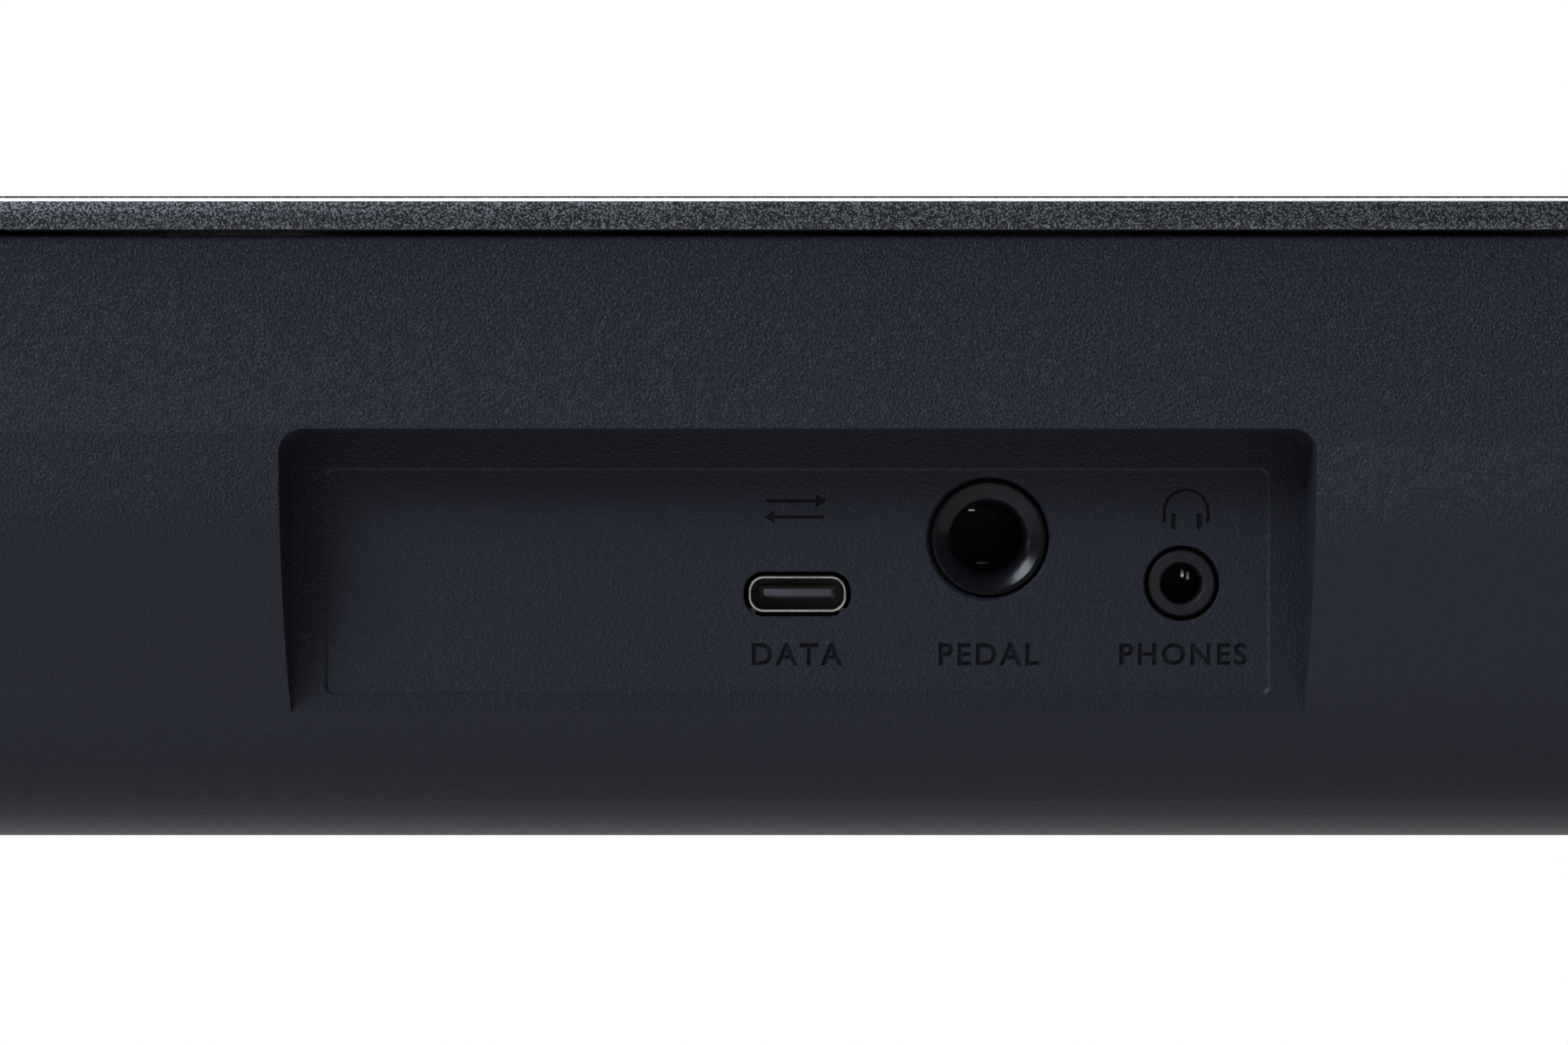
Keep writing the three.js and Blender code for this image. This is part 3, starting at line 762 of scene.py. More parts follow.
def carve(body, tools, operation="DIFFERENCE"):
    """Cuts closed shapes out of a closed body, joins them to it, or keeps what they share."""
    blank = as_object("blank", body)
    helpers = [as_object("tool", tool) for tool in tools]
    group = bpy.data.collections.new("tools")
    for helper in helpers:
        group.objects.link(helper)
    step = blank.modifiers.new("carve", "BOOLEAN")
    step.operation = operation
    step.solver = "EXACT"
    step.use_self = True
    step.operand_type = "COLLECTION"
    step.collection = group
    result = evaluated(blank)
    drop(blank, *helpers)
    bpy.data.collections.remove(group)
    if len(result.faces) < 4:
        raise RuntimeError("a cut left nothing of its body")
    bmesh.ops.remove_doubles(result, verts=result.verts, dist=0.001)
    bmesh.ops.dissolve_degenerate(result, edges=result.edges, dist=0.001)
    gaps = [edge for edge in result.edges if edge.is_boundary]
    if gaps:
        bmesh.ops.holes_fill(result, edges=gaps, sides=0)
    return result


def gather(parts):
    """Several shapes in one bmesh."""
    whole = bmesh.new()
    for part in parts:
        mesh = bpy.data.meshes.new("part")
        part.to_mesh(mesh)
        part.free()
        whole.from_mesh(mesh)
        bpy.data.meshes.remove(mesh)
    return whole


def mirrored(bm):
    """The same shape on the other side of the middle, with its faces still pointing out."""
    bmesh.ops.scale(bm, vec=(-1, 1, 1), verts=bm.verts)
    bmesh.ops.reverse_faces(bm, faces=bm.faces)
    return bm


def lettering(words, height, depth, spacing=1.15, weight=0.0):
    """Raised letters centred on the origin and facing up, with their backs at zero."""
    curve = bpy.data.curves.new("words", "FONT")
    curve.body = words
    curve.align_x = "CENTER"
    curve.space_character = spacing
    curve.resolution_u = 4
    curve.extrude = 0.1
    curve.offset = weight
    holder = bpy.data.objects.new("words", curve)
    bpy.context.scene.collection.objects.link(holder)
    bm = evaluated(holder)
    drop(holder)
    bmesh.ops.remove_doubles(bm, verts=bm.verts, dist=1e-5)
    bmesh.ops.recalc_face_normals(bm, faces=bm.faces)
    lows = [min(v.co[i] for v in bm.verts) for i in range(3)]
    highs = [max(v.co[i] for v in bm.verts) for i in range(3)]
    middle = [(a + b) / 2 for a, b in zip(lows, highs)]
    bmesh.ops.translate(bm, vec=(-middle[0], -middle[1], -lows[2]), verts=bm.verts)
    size = height / (highs[1] - lows[1])
    bmesh.ops.scale(bm, vec=(size, size, depth / (highs[2] - lows[2])), verts=bm.verts)
    return bm


# Turns a drawing that faces up into one on the rear wall, read by someone behind the piano.
FACING_REAR = Matrix(((-1, 0, 0, 0), (0, 0, 1, 0), (0, 1, 0, 0), (0, 0, 0, 1)))


def on_rear(bm, x, y, z):
    """Stands a drawing on the rear wall."""
    bmesh.ops.transform(bm, matrix=Matrix.Translation((x, y, z)) @ FACING_REAR, verts=bm.verts)
    return bm


def finished(name, bm, finish, body, stands_for=(), crease=32):
    """Turns a shape in millimetres into a piece that rides on a body."""
    bmesh.ops.scale(bm, vec=(MM, MM, MM), verts=bm.verts)
    if not bm.faces:
        raise RuntimeError(f"{name} came out empty")
    made = as_object(name, bm)
    made.data.materials.append(finish_of(finish))
    made.data.shade_smooth()
    made.data.set_sharp_from_angle(angle=math.radians(crease))
    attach(made, body)
    if stands_for:
        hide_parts(*stands_for)
    return made


def finished_pair(piece, node, right, finish):
    """A right-hand piece and its mirror image on the left."""
    left = mirrored(right.copy())
    for side, bm in (("right", right), ("left", left)):
        finished(f"{piece}_{side}", bm, finish, ROOT, [f"{node}_{side}"], 28)


def refinish(node, finish):
    """Gives a CAD node its finish."""
    made = frame["nodes"][node]
    if not made.material_slots:
        made.data.materials.append(finish_of(finish))
    for place in made.material_slots:
        place.material = finish_of(finish)


# ---------------------------------------------------------------- case
TUCK = 30  # how far the rear wall curves in
UPRIGHT_FROM = BASE + 38.3
FRONT_WALL_TOP = BASE + 18
RECESS_HALF, RECESS_TOP, RECESS_CORNER = 47.05, BASE + 36.7, 2.2
PANE = {"width": 87.3, "height": 20.6, "middle": BASE + 23.05}  # sunken pane in the recess floor
WORDS = (("DATA", PORT_X), ("PEDAL", PEDAL_X), ("PHONES", PHONES_X - 0.1))
WORDS_Z, SIGNS_Z = BASE + 16.3, BASE + 29.7
LETTERS = {"height": 2.08, "spacing": 1.2, "weight": 0.022}
PEDAL_HOLE, PHONES_HOLE = 5.6, 3.5  # radii
PORT_SLOT = (9.95, 4.14, 1.85)  # width, height and corner radius
THUMB_X, THUMB_Y, THUMB_HOLE = 555, 80, 3.4  # places and radius of the holes for the thumb screws


def tuck(inset, steps):
    """The elliptical line that runs from the underside up to the upright part of the rear wall."""
    return arc(REAR - TUCK, UPRIGHT_FROM, TUCK - inset, UPRIGHT_FROM - UNDER - inset, -90, 0, steps)


def case_section(inset, steps):
    """Outer line of the case as (y, z), from the front of its underside up to the rear edge."""
    top = CASE_HIGH.z - 0.15
    round_edge = [(REAR, top - 0.5), *arc(REAR - 0.5, top - 0.5, 0.5, 0.5, 0, 90, 4)[1:]]
    upper = [(REAR - inset, top)] if inset else round_edge
    return [(CASE_LOW.y + inset, UNDER + inset), *tuck(inset, steps), *upper]


def recess_outline(grow):
    """The recess seen from behind, square below and rounded at its two upper corners."""
    half, top, radius = RECESS_HALF + grow, RECESS_TOP + grow, RECESS_CORNER + grow
    right = arc(RECESS_X + half - radius, top - radius, radius, radius, 0, 90, 8)
    left = arc(RECESS_X - half + radius, top - radius, radius, radius, 90, 180, 8)
    return [(RECESS_X - half, UNDER - 4), (RECESS_X + half, UNDER - 4), *right, *left]


def connector_holes():
    """Tools for the holes in the recess floor, each with a small chamfer at its mouth."""
    floor = RECESS_FLOOR - SUNKEN
    pedal, phones = (
        turned(
            [(0, -6), (r, -6), (r, -chamfer), (r + chamfer, 0), (r + chamfer, 3), (0, 3)],
            (x, floor, z), "Y", 64,
        )
        for x, z, r, chamfer in (
            (PEDAL_X, PEDAL_Z, PEDAL_HOLE, 0.28), (PHONES_X, PHONES_Z, PHONES_HOLE, 0.12),
        )
    )
    slot = slab(PORT_X, PORT_Z, *PORT_SLOT, 10, floor - 6, floor + 2, "XZ")
    slice_at(slot, (0, floor - 0.1, 0), (0, 1, 0))
    flare(slot, 1, floor + 1, (PORT_X, 0, PORT_Z), (1.42, 1, 2.0))
    return [pedal, phones, slot]


def stroke(points, width, depth):
    """A drawn line of even width, facing up."""
    left, right = [], []
    for i, (u, v) in enumerate(points):
        before, after = points[max(i - 1, 0)], points[min(i + 1, len(points) - 1)]
        along = Vector((after[0] - before[0], after[1] - before[1])).normalized()
        left.append((u - along.y * width / 2, v + along.x * width / 2))
        right.append((u + along.y * width / 2, v - along.x * width / 2))
    return prism(left + right[::-1], 0, depth)


def headphones_sign(depth):
    """A headband and two ear cushions."""
    band = [(-2.02, -1.05), *arc(0, 0, 2.02, 2.02, 180, 0, 24), (2.02, -1.05)]
    cups = [slab(side * 1.2, -0.92, 0.46, 1.5, 0.2, 4, 0, depth) for side in (-1, 1)]
    return [stroke(band, 0.28, depth), *cups]


def two_way_sign(depth):
    """Two arrows that point opposite ways, for data in and out."""
    parts = []
    for side in (-1, 1):
        v = side * 0.75
        tip = [(side * 2.9, v), (side * 1.9, v + 0.62), (side * 1.9, v - 0.62)]
        parts.append(prism(tip, 0, depth))
        parts.append(stroke([(-side * 2.7, v), (side * 1.95, v)], 0.30, depth))
    return parts


class PIANO_OT_case_shell(Operator):
    """Moulded lower case with the connector recess and its engraved signs"""

    bl_idname = "piano.case_shell"
    bl_label = "Case Shell"

    def execute(self, context):
        sizes = context.scene.digital_piano.case
        wall, steps, deep = sizes.wall / MM, sizes.arc_steps, sizes.engraving / MM
        outer, inner = case_section(0, steps), case_section(wall, steps)
        front = [(CASE_LOW.y + wall, FRONT_WALL_TOP), (CASE_LOW.y, FRONT_WALL_TOP)]
        shell = prism([*outer, *inner[::-1], *front], CASE_LOW.x, CASE_HIGH.x, "YZ")
        middle = [*case_section(wall / 2, steps), (CASE_LOW.y, CASE_HIGH.z)]
        boss = carve(
            prism(recess_outline(wall), RECESS_FLOOR - wall, REAR + 2, "XZ"),
            [prism(middle, CASE_LOW.x, CASE_HIGH.x, "YZ")],
            "INTERSECT",
        )
        shell = carve(shell, [boss], "UNION")

        void = prism(recess_outline(0), RECESS_FLOOR, RECESS_FLOOR + 16, "XZ")
        for v in void.verts:
            if v.co.y > RECESS_FLOOR + 1:
                v.co.x += math.copysign(0.6, v.co.x - RECESS_X)
                if v.co.z > BASE + 20:
                    v.co.z += 0.8
        shell = carve(shell, [void])

        def on_rim(edge):
            walls = [f for f in edge.link_faces if self.is_recess_wall(f)]
            clear = all(v.co.y > RECESS_FLOOR + 0.9 for v in edge.verts)
            return len(walls) == 1 and clear and edge.calc_face_angle(0) > math.radians(50)

        soften(shell, on_rim, sizes.rim / MM, 3)

        pane = slab(
            RECESS_X, PANE["middle"], PANE["width"], PANE["height"], 0.7, 5,
            RECESS_FLOOR - SUNKEN, RECESS_FLOOR + 1, "XZ",
        )
        flare(pane, 1, RECESS_FLOOR + 0.9, (RECESS_X, 0, PANE["middle"]), (1.030, 1, 1.126))
        tools = [pane, *connector_holes()]
        floor = RECESS_FLOOR - SUNKEN - deep
        for text, x in WORDS:
            tools.append(on_rear(lettering(text, depth=deep + 1, **LETTERS), x, floor, WORDS_Z))
        for part in headphones_sign(deep + 1):
            tools.append(on_rear(part, PHONES_X - 0.4, floor, SIGNS_Z - 0.12))
        for part in two_way_sign(deep + 1):
            tools.append(on_rear(part, PORT_X + 0.2, floor, SIGNS_Z + 0.1))
        screw_holes = [
            peg(THUMB_HOLE, -1, 4, (x, y, UNDER), steps=24)
            for x in (-THUMB_X, THUMB_X) for y in (-THUMB_Y, THUMB_Y)
        ]
        shell = carve(shell, tools + screw_holes)
        piece = finished("case_shell", shell, "pebbled_case", ROOT, ["lower_case"], 24)
        # Painted shade: the floors of the engraved words and signs get a far darker finish, and the recess floor
        # around the sunken pane a darker copy of the case's finish
        for finish in ("engraving", "recess_margin"):
            piece.data.materials.append(finish_of(finish))
        for face in piece.data.polygons:
            for level, index in ((floor, 1), (RECESS_FLOOR, 2)):
                if abs(face.center.y - level * MM) < 1e-5 and face.normal.y > 0.9:
                    face.material_index = index
        return {"FINISHED"}

    @staticmethod
    def is_recess_wall(face):
        """True for the side walls and the ceiling of the recess."""
        middle = face.calc_center_median()
        sideways = abs(face.normal.x) > 0.5 or face.normal.z < -0.9
        across = abs(middle.x - RECESS_X) < RECESS_HALF + 1.15
        inside = across and BASE + 5 < middle.z < RECESS_TOP + 1.3
        return sideways and inside and middle.y > RECESS_FLOOR + 0.2


# ---------------------------------------------------------------- top panel
GRILLE_LOW, GRILLE_HIGH = node_box("speaker_grille_right")
KNOB_LOW, KNOB_HIGH = node_box("volume_knob")
KNOB_X, KNOB_Y = (KNOB_LOW.x + KNOB_HIGH.x) / 2, (KNOB_LOW.y + KNOB_HIGH.y) / 2
KNURL = 7.65  # radius of the knob's knurled side
BUTTONS = ("power_button", "voice_button", "metronome_button")


class PIANO_OT_top_panel(Operator):
    """Flat top panel with its openings, printed words and lamp"""

    bl_idname = "piano.top_panel"
    bl_label = "Top Panel"

    def execute(self, context):
        edge = context.scene.digital_piano.case.panel_edge / MM
        width, deep = PANEL_HIGH.x - PANEL_LOW.x, PANEL_HIGH.y - PANEL_LOW.y
        middle = (PANEL_LOW + PANEL_HIGH) / 2
        brow = PANEL_HIGH.z - 0.16
        plate = slab(middle.x, middle.y, width, deep, 2.5, 6, PANEL_LOW.z, brow)
        for level in (0.9, 1.3, 1.7, 2.1):
            slice_at(plate, (0, 0, PANEL_LOW.z + level), (0, 0, 1))
        soften(plate, at(2, brow), edge, 5)
        soften(plate, at(2, PANEL_LOW.z), 0.12, 2)
        for v in plate.verts:
            lean = max(0, v.co.z - PANEL_LOW.z - 0.9) ** 2 / 11
            v.co.x -= math.copysign(lean, v.co.x - middle.x)
            v.co.y -= math.copysign(lean, v.co.y - middle.y)
        plate.faces.ensure_lookup_table()
        top = max(plate.faces, key=lambda face: face.calc_center_median().z)
        bmesh.ops.inset_region(plate, faces=[top], thickness=0.06)
        raised = bmesh.ops.extrude_face_region(plate, geom=[top])
        moving = [e for e in raised["geom"] if isinstance(e, bmesh.types.BMVert)]
        bmesh.ops.translate(plate, verts=moving, vec=(0, 0, PANEL_HIGH.z - brow))
        bmesh.ops.delete(plate, geom=[f for f in [top] if f.is_valid], context="FACES_ONLY")
        plate = carve(plate, self.openings())
        finished("panel_plate", plate, "flake_lacquer", ROOT, ["top_panel"], 24)
        self.print_words()
        self.fit_lamp()
        return {"FINISHED"}

    @staticmethod
    def openings():
        low, high = PANEL_LOW.z - 1, PANEL_HIGH.z + 0.02
        tools = []
        grille = middle_of("speaker_grille_right")
        for side in (-1, 1):
            tools.append(slab(side * grille.x, grille.y, 150.6, 36.6, 8, 8, low, high))
        for name in BUTTONS:
            place = middle_of(name)
            tools.append(slab(place.x, place.y, 14.8, 7.8, 2.2, 6, low, high))
        tools.append(peg(3.5, low, high, (KNOB_X, KNOB_Y, 0), steps=32))
        return tools

    @staticmethod
    def print_words():
        """Words and scale marks as a very thin layer of ink."""
        level = PANEL_HIGH.z - 0.02
        marks = []
        places = [("VOLUME", KNOB_X, KNOB_Y - 14.5)]
        for name in BUTTONS:
            place = middle_of(name)
            places.append((name.split("_")[0].upper(), place.x, place.y - 8.2))
        for words, x, y in places:
            label = lettering(words, 1.9, 0.05, 1.12)
            marks.append(place_at(label, x, y, level))
        for i in range(11):
            mark = brick((-0.16, 9.9, 0), (0.16, 11.6 if i % 5 == 0 else 11.0, 0.05))
            turn = Matrix.Rotation(math.radians(150 - 30 * i), 4, "Z")
            bmesh.ops.transform(
                mark, matrix=Matrix.Translation((KNOB_X, KNOB_Y, level)) @ turn, verts=mark.verts,
            )
            marks.append(mark)
        finished("panel_print", gather(marks), "printed_ink", ROOT)

    @staticmethod
    def fit_lamp():
        place = middle_of("power_button")
        dome = turned(
            [(0, -0.4), (0.9, -0.4), (0.9, 0.05), (0.75, 0.2), (0.45, 0.32), (0, 0.36)],
            (place.x, place.y + 7.5, PANEL_HIGH.z), steps=24,
        )
        finished("power_lamp", dome, "lit_lens", ROOT)


class PIANO_OT_grilles(Operator):
    """Perforated speaker grilles, with the drivers below them"""

    bl_idname = "piano.grilles"
    bl_label = "Speaker Grilles"

    def execute(self, context):
        place = middle_of("speaker_grille_right")
        width, deep, top = GRILLE_HIGH.x - GRILLE_LOW.x, GRILLE_HIGH.y - GRILLE_LOW.y, GRILLE_HIGH.z
        sheet = slab(place.x, place.y, width, deep, 7.7, 8, top - 1.2, top)
        soften(sheet, at(2, top), 0.25, 2)
        pitch, row = 2.7, 2.7 * math.sin(math.pi / 3)
        drills = bmesh.new()
        rows = int((deep - 7) / 2 / row)
        for j in range(-rows, rows + 1):
            shift = pitch / 2 if j % 2 else 0
            reach = int((width - 9) / 2 / pitch)
            for i in range(-reach, reach + (0 if shift else 1)):
                u, v = i * pitch + shift, j * row
                corner = max(abs(u) - (width / 2 - 8), 0), max(abs(v) - (deep / 2 - 8), 0)
                if math.hypot(*corner) < 4.6:
                    bmesh.ops.create_cone(
                        drills, cap_ends=True, segments=8, radius1=0.82, radius2=0.82, depth=4,
                        matrix=Matrix.Translation((place.x + u, place.y + v, top - 0.6)),
                    )
        sheet = carve(sheet, [drills])
        other = place_at(sheet.copy(), -2 * place.x, 0)
        for side, mesh in (("right", sheet), ("left", other)):
            node = f"speaker_grille_{side}"
            finished(f"grille_mesh_{side}", mesh, "grille_steel", ROOT, [node], 24)
        for node in ("speaker_left", "speaker_right"):
            refinish(node, "speaker_cone")
        return {"FINISHED"}


class PIANO_OT_controls(Operator):
    """Volume knob and the three buttons"""

    bl_idname = "piano.controls"
    bl_label = "Knob and Buttons"

    def execute(self, context):
        self.make_knob()
        for name in BUTTONS:
            self.make_button(name)
        return {"FINISHED"}

    @staticmethod
    def make_knob():
        z, top = PANEL_HIGH.z, KNOB_HIGH.z
        profile = [
            (0, KNOB_LOW.z), (2.7, KNOB_LOW.z), (3, KNOB_LOW.z + 0.3), (3, z + 0.4), (7.5, z + 0.4),
            (8, z + 0.8), (8, z + 1.7), (KNURL, z + 2.0), (KNURL, z + 2.3), (KNURL, top - 1.3),
            (7.4, top - 0.7), (6.9, top - 0.2), (6.3, top), (5.9, top), (5.6, top - 0.3),
            (0, top - 0.4),
        ]
        knob = turned(profile, (0, 0, 0), steps=120)

        def grip(radius, height):
            return abs(radius - KNURL) < 0.01 and z + 2.2 < height < top - 1.2

        knurl(knob, 120, grip, lambda column: column % 2, 0.965)
        place_at(knob, KNOB_X, KNOB_Y)
        finished("knob_turned", knob, "turned_metal", "volume_knob", ["volume_knob"], 28)
        line = slab(KNOB_X, KNOB_Y + 3.6, 0.7, 3.6, 0.34, 4, top - 0.45, top - 0.24)
        finished("knob_pointer", line, "printed_ink", "volume_knob")

    @staticmethod
    def make_button(name):
        (low, high), (x, y, _) = node_box(name), middle_of(name)
        cap = slab(x, y, 14, 7, 1.8, 6, low.z, high.z)
        soften(cap, at(2, high.z), 0.5, 3)
        skirt = slab(x, y, 17, 10, 2.2, 4, low.z, PANEL_LOW.z - 0.3)
        finished(f"{name}_cap", gather([cap, skirt]), "satin_moulding", name, [name])


# ---------------------------------------------------------------- ends and slip
class PIANO_OT_ends(Operator):
    """End blocks beside the keys, the key slip in front of them and the felt behind them"""

    bl_idname = "piano.ends"
    bl_label = "End Blocks and Slip"

    def execute(self, context):
        edge = context.scene.digital_piano.case.block_edge / MM
        low, high = node_box("end_block_right")
        front, top, cheek = low.y, high.z, KEY_TOP + 3
        profile = [
            *tuck(0, 28),
            (REAR, top), (PANEL_LOW.y - 0.3, top),
            *arc(front + 8, cheek - 8, 8, 8, 90, 180, 12),
            *arc(front + 6, UNDER + 6, 6, 6, 180, 270, 10),
        ]
        block = prism(profile, low.x, high.x, "YZ")
        soften(block, at(0, high.x), edge, 4)
        soften(block, at(0, low.x), 0.4, 2)
        other = mirrored(block.copy())
        finished("end_block_bass", other, "pebbled_case", ROOT, ["end_block_left"], 28)
        finished(
            "end_block_treble", block, "pebbled_case", ROOT, ["end_block_right"], 28,
        )

        low, high = node_box("key_slip")
        profile = [
            (high.y, low.z), (high.y, high.z - 0.6), (high.y - 0.6, high.z),
            *arc(low.y + 4, high.z - 4, 4, 4, 90, 180, 12),
            *arc(low.y + 6, low.z + 6, 6, 6, 180, 270, 10),
        ]
        slip = prism(profile, low.x, high.x, "YZ")
        finished("slip_rail", slip, "satin_moulding", ROOT, ["key_slip"], 28)

        strip = brick(
            (-FIELD / 2, PANEL_LOW.y + 0.4, BASE + 51.6),
            (FIELD / 2, PANEL_LOW.y + 3.6, PANEL_LOW.z - 0.1),
        )
        soften(strip, sharp(), 0.5, 2)
        finished("key_felt", strip, "felt", ROOT)
        return {"FINISHED"}


# ---------------------------------------------------------------- connectors
class PIANO_OT_connectors(Operator):
    """The two jacks and the data port in the rear recess"""

    bl_idname = "piano.connectors"
    bl_label = "Connectors"

    def execute(self, context):
        self.make_pedal_jack()
        self.make_phones_jack()
        self.make_data_port()
        return {"FINISHED"}

    @staticmethod
    def housing(node, top):
        """Square body of a jack behind the recess floor."""
        low, high = node_box(node)
        body = brick((low.x, low.y, low.z), (high.x, RECESS_FLOOR - 2.85, top))
        return soften(body, sharp(), 0.3, 2)

    def make_pedal_jack(self):
        """Big jack: thin rim, deep countersink, long bore with leaf contacts."""
        face = RECESS_FLOOR - 0.2
        nose = turned(
            [
                (5.12, -2.7), (5.28, -2.5), (5.28, -0.12), (5.16, 0), (4.92, 0), (4.80, -0.05),
                (4.2, -0.36), (3.72, -0.68), (3.42, -1.0), (3.28, -1.35), (3.24, -1.9), (3.24, -12),
                (2.95, -12.1), (2.95, -23), (0, -23), (0, -24.5), (5.12, -24.5),
            ],
            (PEDAL_X, face, PEDAL_Z), "Y", 96, ring=True,
        )
        body = self.housing("pedal_jack", PEDAL_Z + 8)
        bore = peg(5.2, -30, 2, (PEDAL_X, face, PEDAL_Z), "Y")
        body = carve(body, [bore])  # the nose fits in the bore
        finished(
            "pedal_jack_body", gather([nose, body]), "jack_plastic", ROOT,
            ["pedal_jack"], 26,
        )
        leaves = [
            brick(
                (PEDAL_X + 1.15, face - 6.4, PEDAL_Z + 2.52),
                (PEDAL_X + 1.8, face - 3.6, PEDAL_Z + 2.72),
            ),
            brick(
                (PEDAL_X - 0.7, face - 17.2, PEDAL_Z - 2.6),
                (PEDAL_X + 0.7, face - 14.2, PEDAL_Z - 2.35),
            ),
        ]
        for leaf in leaves:
            soften(leaf, sharp(), 0.08, 2)
        finished("pedal_contacts", gather(leaves), "nickel", ROOT)

    def make_phones_jack(self):
        """Small jack: flat ring, short chamfer, bore with a leaf contact."""
        face = RECESS_FLOOR - 0.45
        ring = turned(
            [
                (2.9, -2.4), (3.08, -2.2), (3.08, -0.15), (2.93, 0), (2.12, 0), (1.98, -0.12),
                (1.94, -0.4), (1.94, -8), (0, -8), (0, -12), (2.9, -12),
            ],
            (PHONES_X, face, PHONES_Z), "Y", 72, ring=True,
        )
        body = self.housing("phones_jack", PHONES_Z + 3.7)
        bore = peg(3.0, -14, 2, (PHONES_X, face, PHONES_Z), "Y", 32)
        body = carve(body, [bore])
        finished(
            "phones_jack_body", gather([ring, body]), "matt_ring", ROOT,
            ["phones_jack"], 26,
        )
        leaves = [
            brick(
                (PHONES_X - 0.5, face - 3.3, PHONES_Z + 0.5),
                (PHONES_X - 0.12, face - 2.9, PHONES_Z + 1.25),
            ),
            brick(
                (PHONES_X - 1.3, face - 6.2, PHONES_Z + 0.2),
                (PHONES_X - 0.9, face - 5.8, PHONES_Z + 1.1),
            ),
        ]
        for leaf in leaves:
            soften(leaf, sharp(), 0.1, 2)
        finished("phones_contacts", gather(leaves), "nickel", ROOT)

    @staticmethod
    def make_data_port():
        """Drawn metal shell with a rounded lip, and the tongue inside it."""
        low, high = node_box("data_port_shell")
        width, height, wall, corner = high.x - low.x - 0.07, 3.34, 0.22, 1.42
        front, back = RECESS_FLOOR - SUNKEN + 0.02, low.y
        tube = slab(PORT_X, PORT_Z, width, height, corner, 12, back, front, "XZ")
        hollow = slab(
            PORT_X, PORT_Z, width - 2 * wall, height - 2 * wall, corner - wall, 12,
            back - 1, front + 1, "XZ",
        )
        tube = carve(tube, [hollow])
        soften(tube, lambda e: at(1, front)(e) and sharp()(e), 0.08, 3)
        legs = [
            brick(
                (PORT_X + s * 4.2 - 0.3, low.y + 1, low.z),
                (PORT_X + s * 4.2 + 0.3, low.y + 2.4, PORT_Z - 1.4),
            )
            for s in (-1, 1)
        ]
        finished(
            "port_shell", gather([tube, *legs]), "nickel", ROOT, ["data_port_shell"],
            26,
        )
        tongue = brick(
            (PORT_X - 3.2, low.y + 2.4, PORT_Z - 0.2), (PORT_X + 3.2, front - 0.85, PORT_Z + 0.46),
        )
        soften(tongue, sharp(), 0.12, 2)
        back_wall = slab(
            PORT_X, PORT_Z, width - 2 * wall - 0.1, height - 2 * wall - 0.1, 1.1, 8,
            low.y + 0.05, low.y + 2.6, "XZ",
        )
        step = brick(
            (PORT_X - 3.6, low.y + 2.4, PORT_Z - 0.5), (PORT_X + 3.6, low.y + 4.2, PORT_Z + 0.76),
        )
        soften(step, sharp(), 0.15, 2)
        finished(
            "port_tongue", gather([tongue, back_wall, step]), "port_plastic", ROOT,
            ["data_port_tongue"],
        )
        pads = []
        for i in range(12):
            x = PORT_X - 2.75 + 0.5 * i
            for s in (-1, 1):
                z = PORT_Z + 0.13 + s * 0.335
                pads.append(
                    brick((x - 0.12, front - 3.6, z - 0.02), (x + 0.12, front - 1.25, z + 0.02)),
                )
        finished("port_pads", gather(pads), "contact_gold", ROOT)


# ---------------------------------------------------------------- keys
FIRST_NOTE, LAST_NOTE, MIDDLE_C = 21, 108, 60
NOTE_WORDS = (
    "c", "c_sharp", "d", "d_sharp", "e", "f", "f_sharp", "g", "g_sharp", "a", "a_sharp", "b",
)
OCTAVES = {1: (21, 35), 2: (36, 47), 3: (48, 59), 5: (72, 83), 6: (84, 95), 7: (96, 108)}


def is_black(note):
    """True for the five black keys of each octave."""
    return note % 12 in (1, 3, 6, 8, 10)


def whites_below(note):
    """How many white keys lie to the left of a note."""
    return sum(1 for n in range(FIRST_NOTE, note) if not is_black(n))


def black_centre(note):
    """Middle of a black key: the white tails between black keys are equal within each group."""
    step = note % 12
    whites, order = (3, (step - 1) // 2) if step < 5 else (4, (step - 6) // 2)
    tail = (whites * PITCH - (whites - 1) * BLACK_SLOT) / whites
    left = -FIELD / 2 + (whites_below(note) - order - 1) * PITCH
    return left + (order + 1) * tail + (order + 0.5) * BLACK_SLOT


def upright_front(front):
    """Test for the upright edges at a key's front."""

    def test(edge):
        a, b = edge.verts
        return abs(a.co.z - b.co.z) > 1 and max(a.co.y, b.co.y) < front + 0.1

    return test


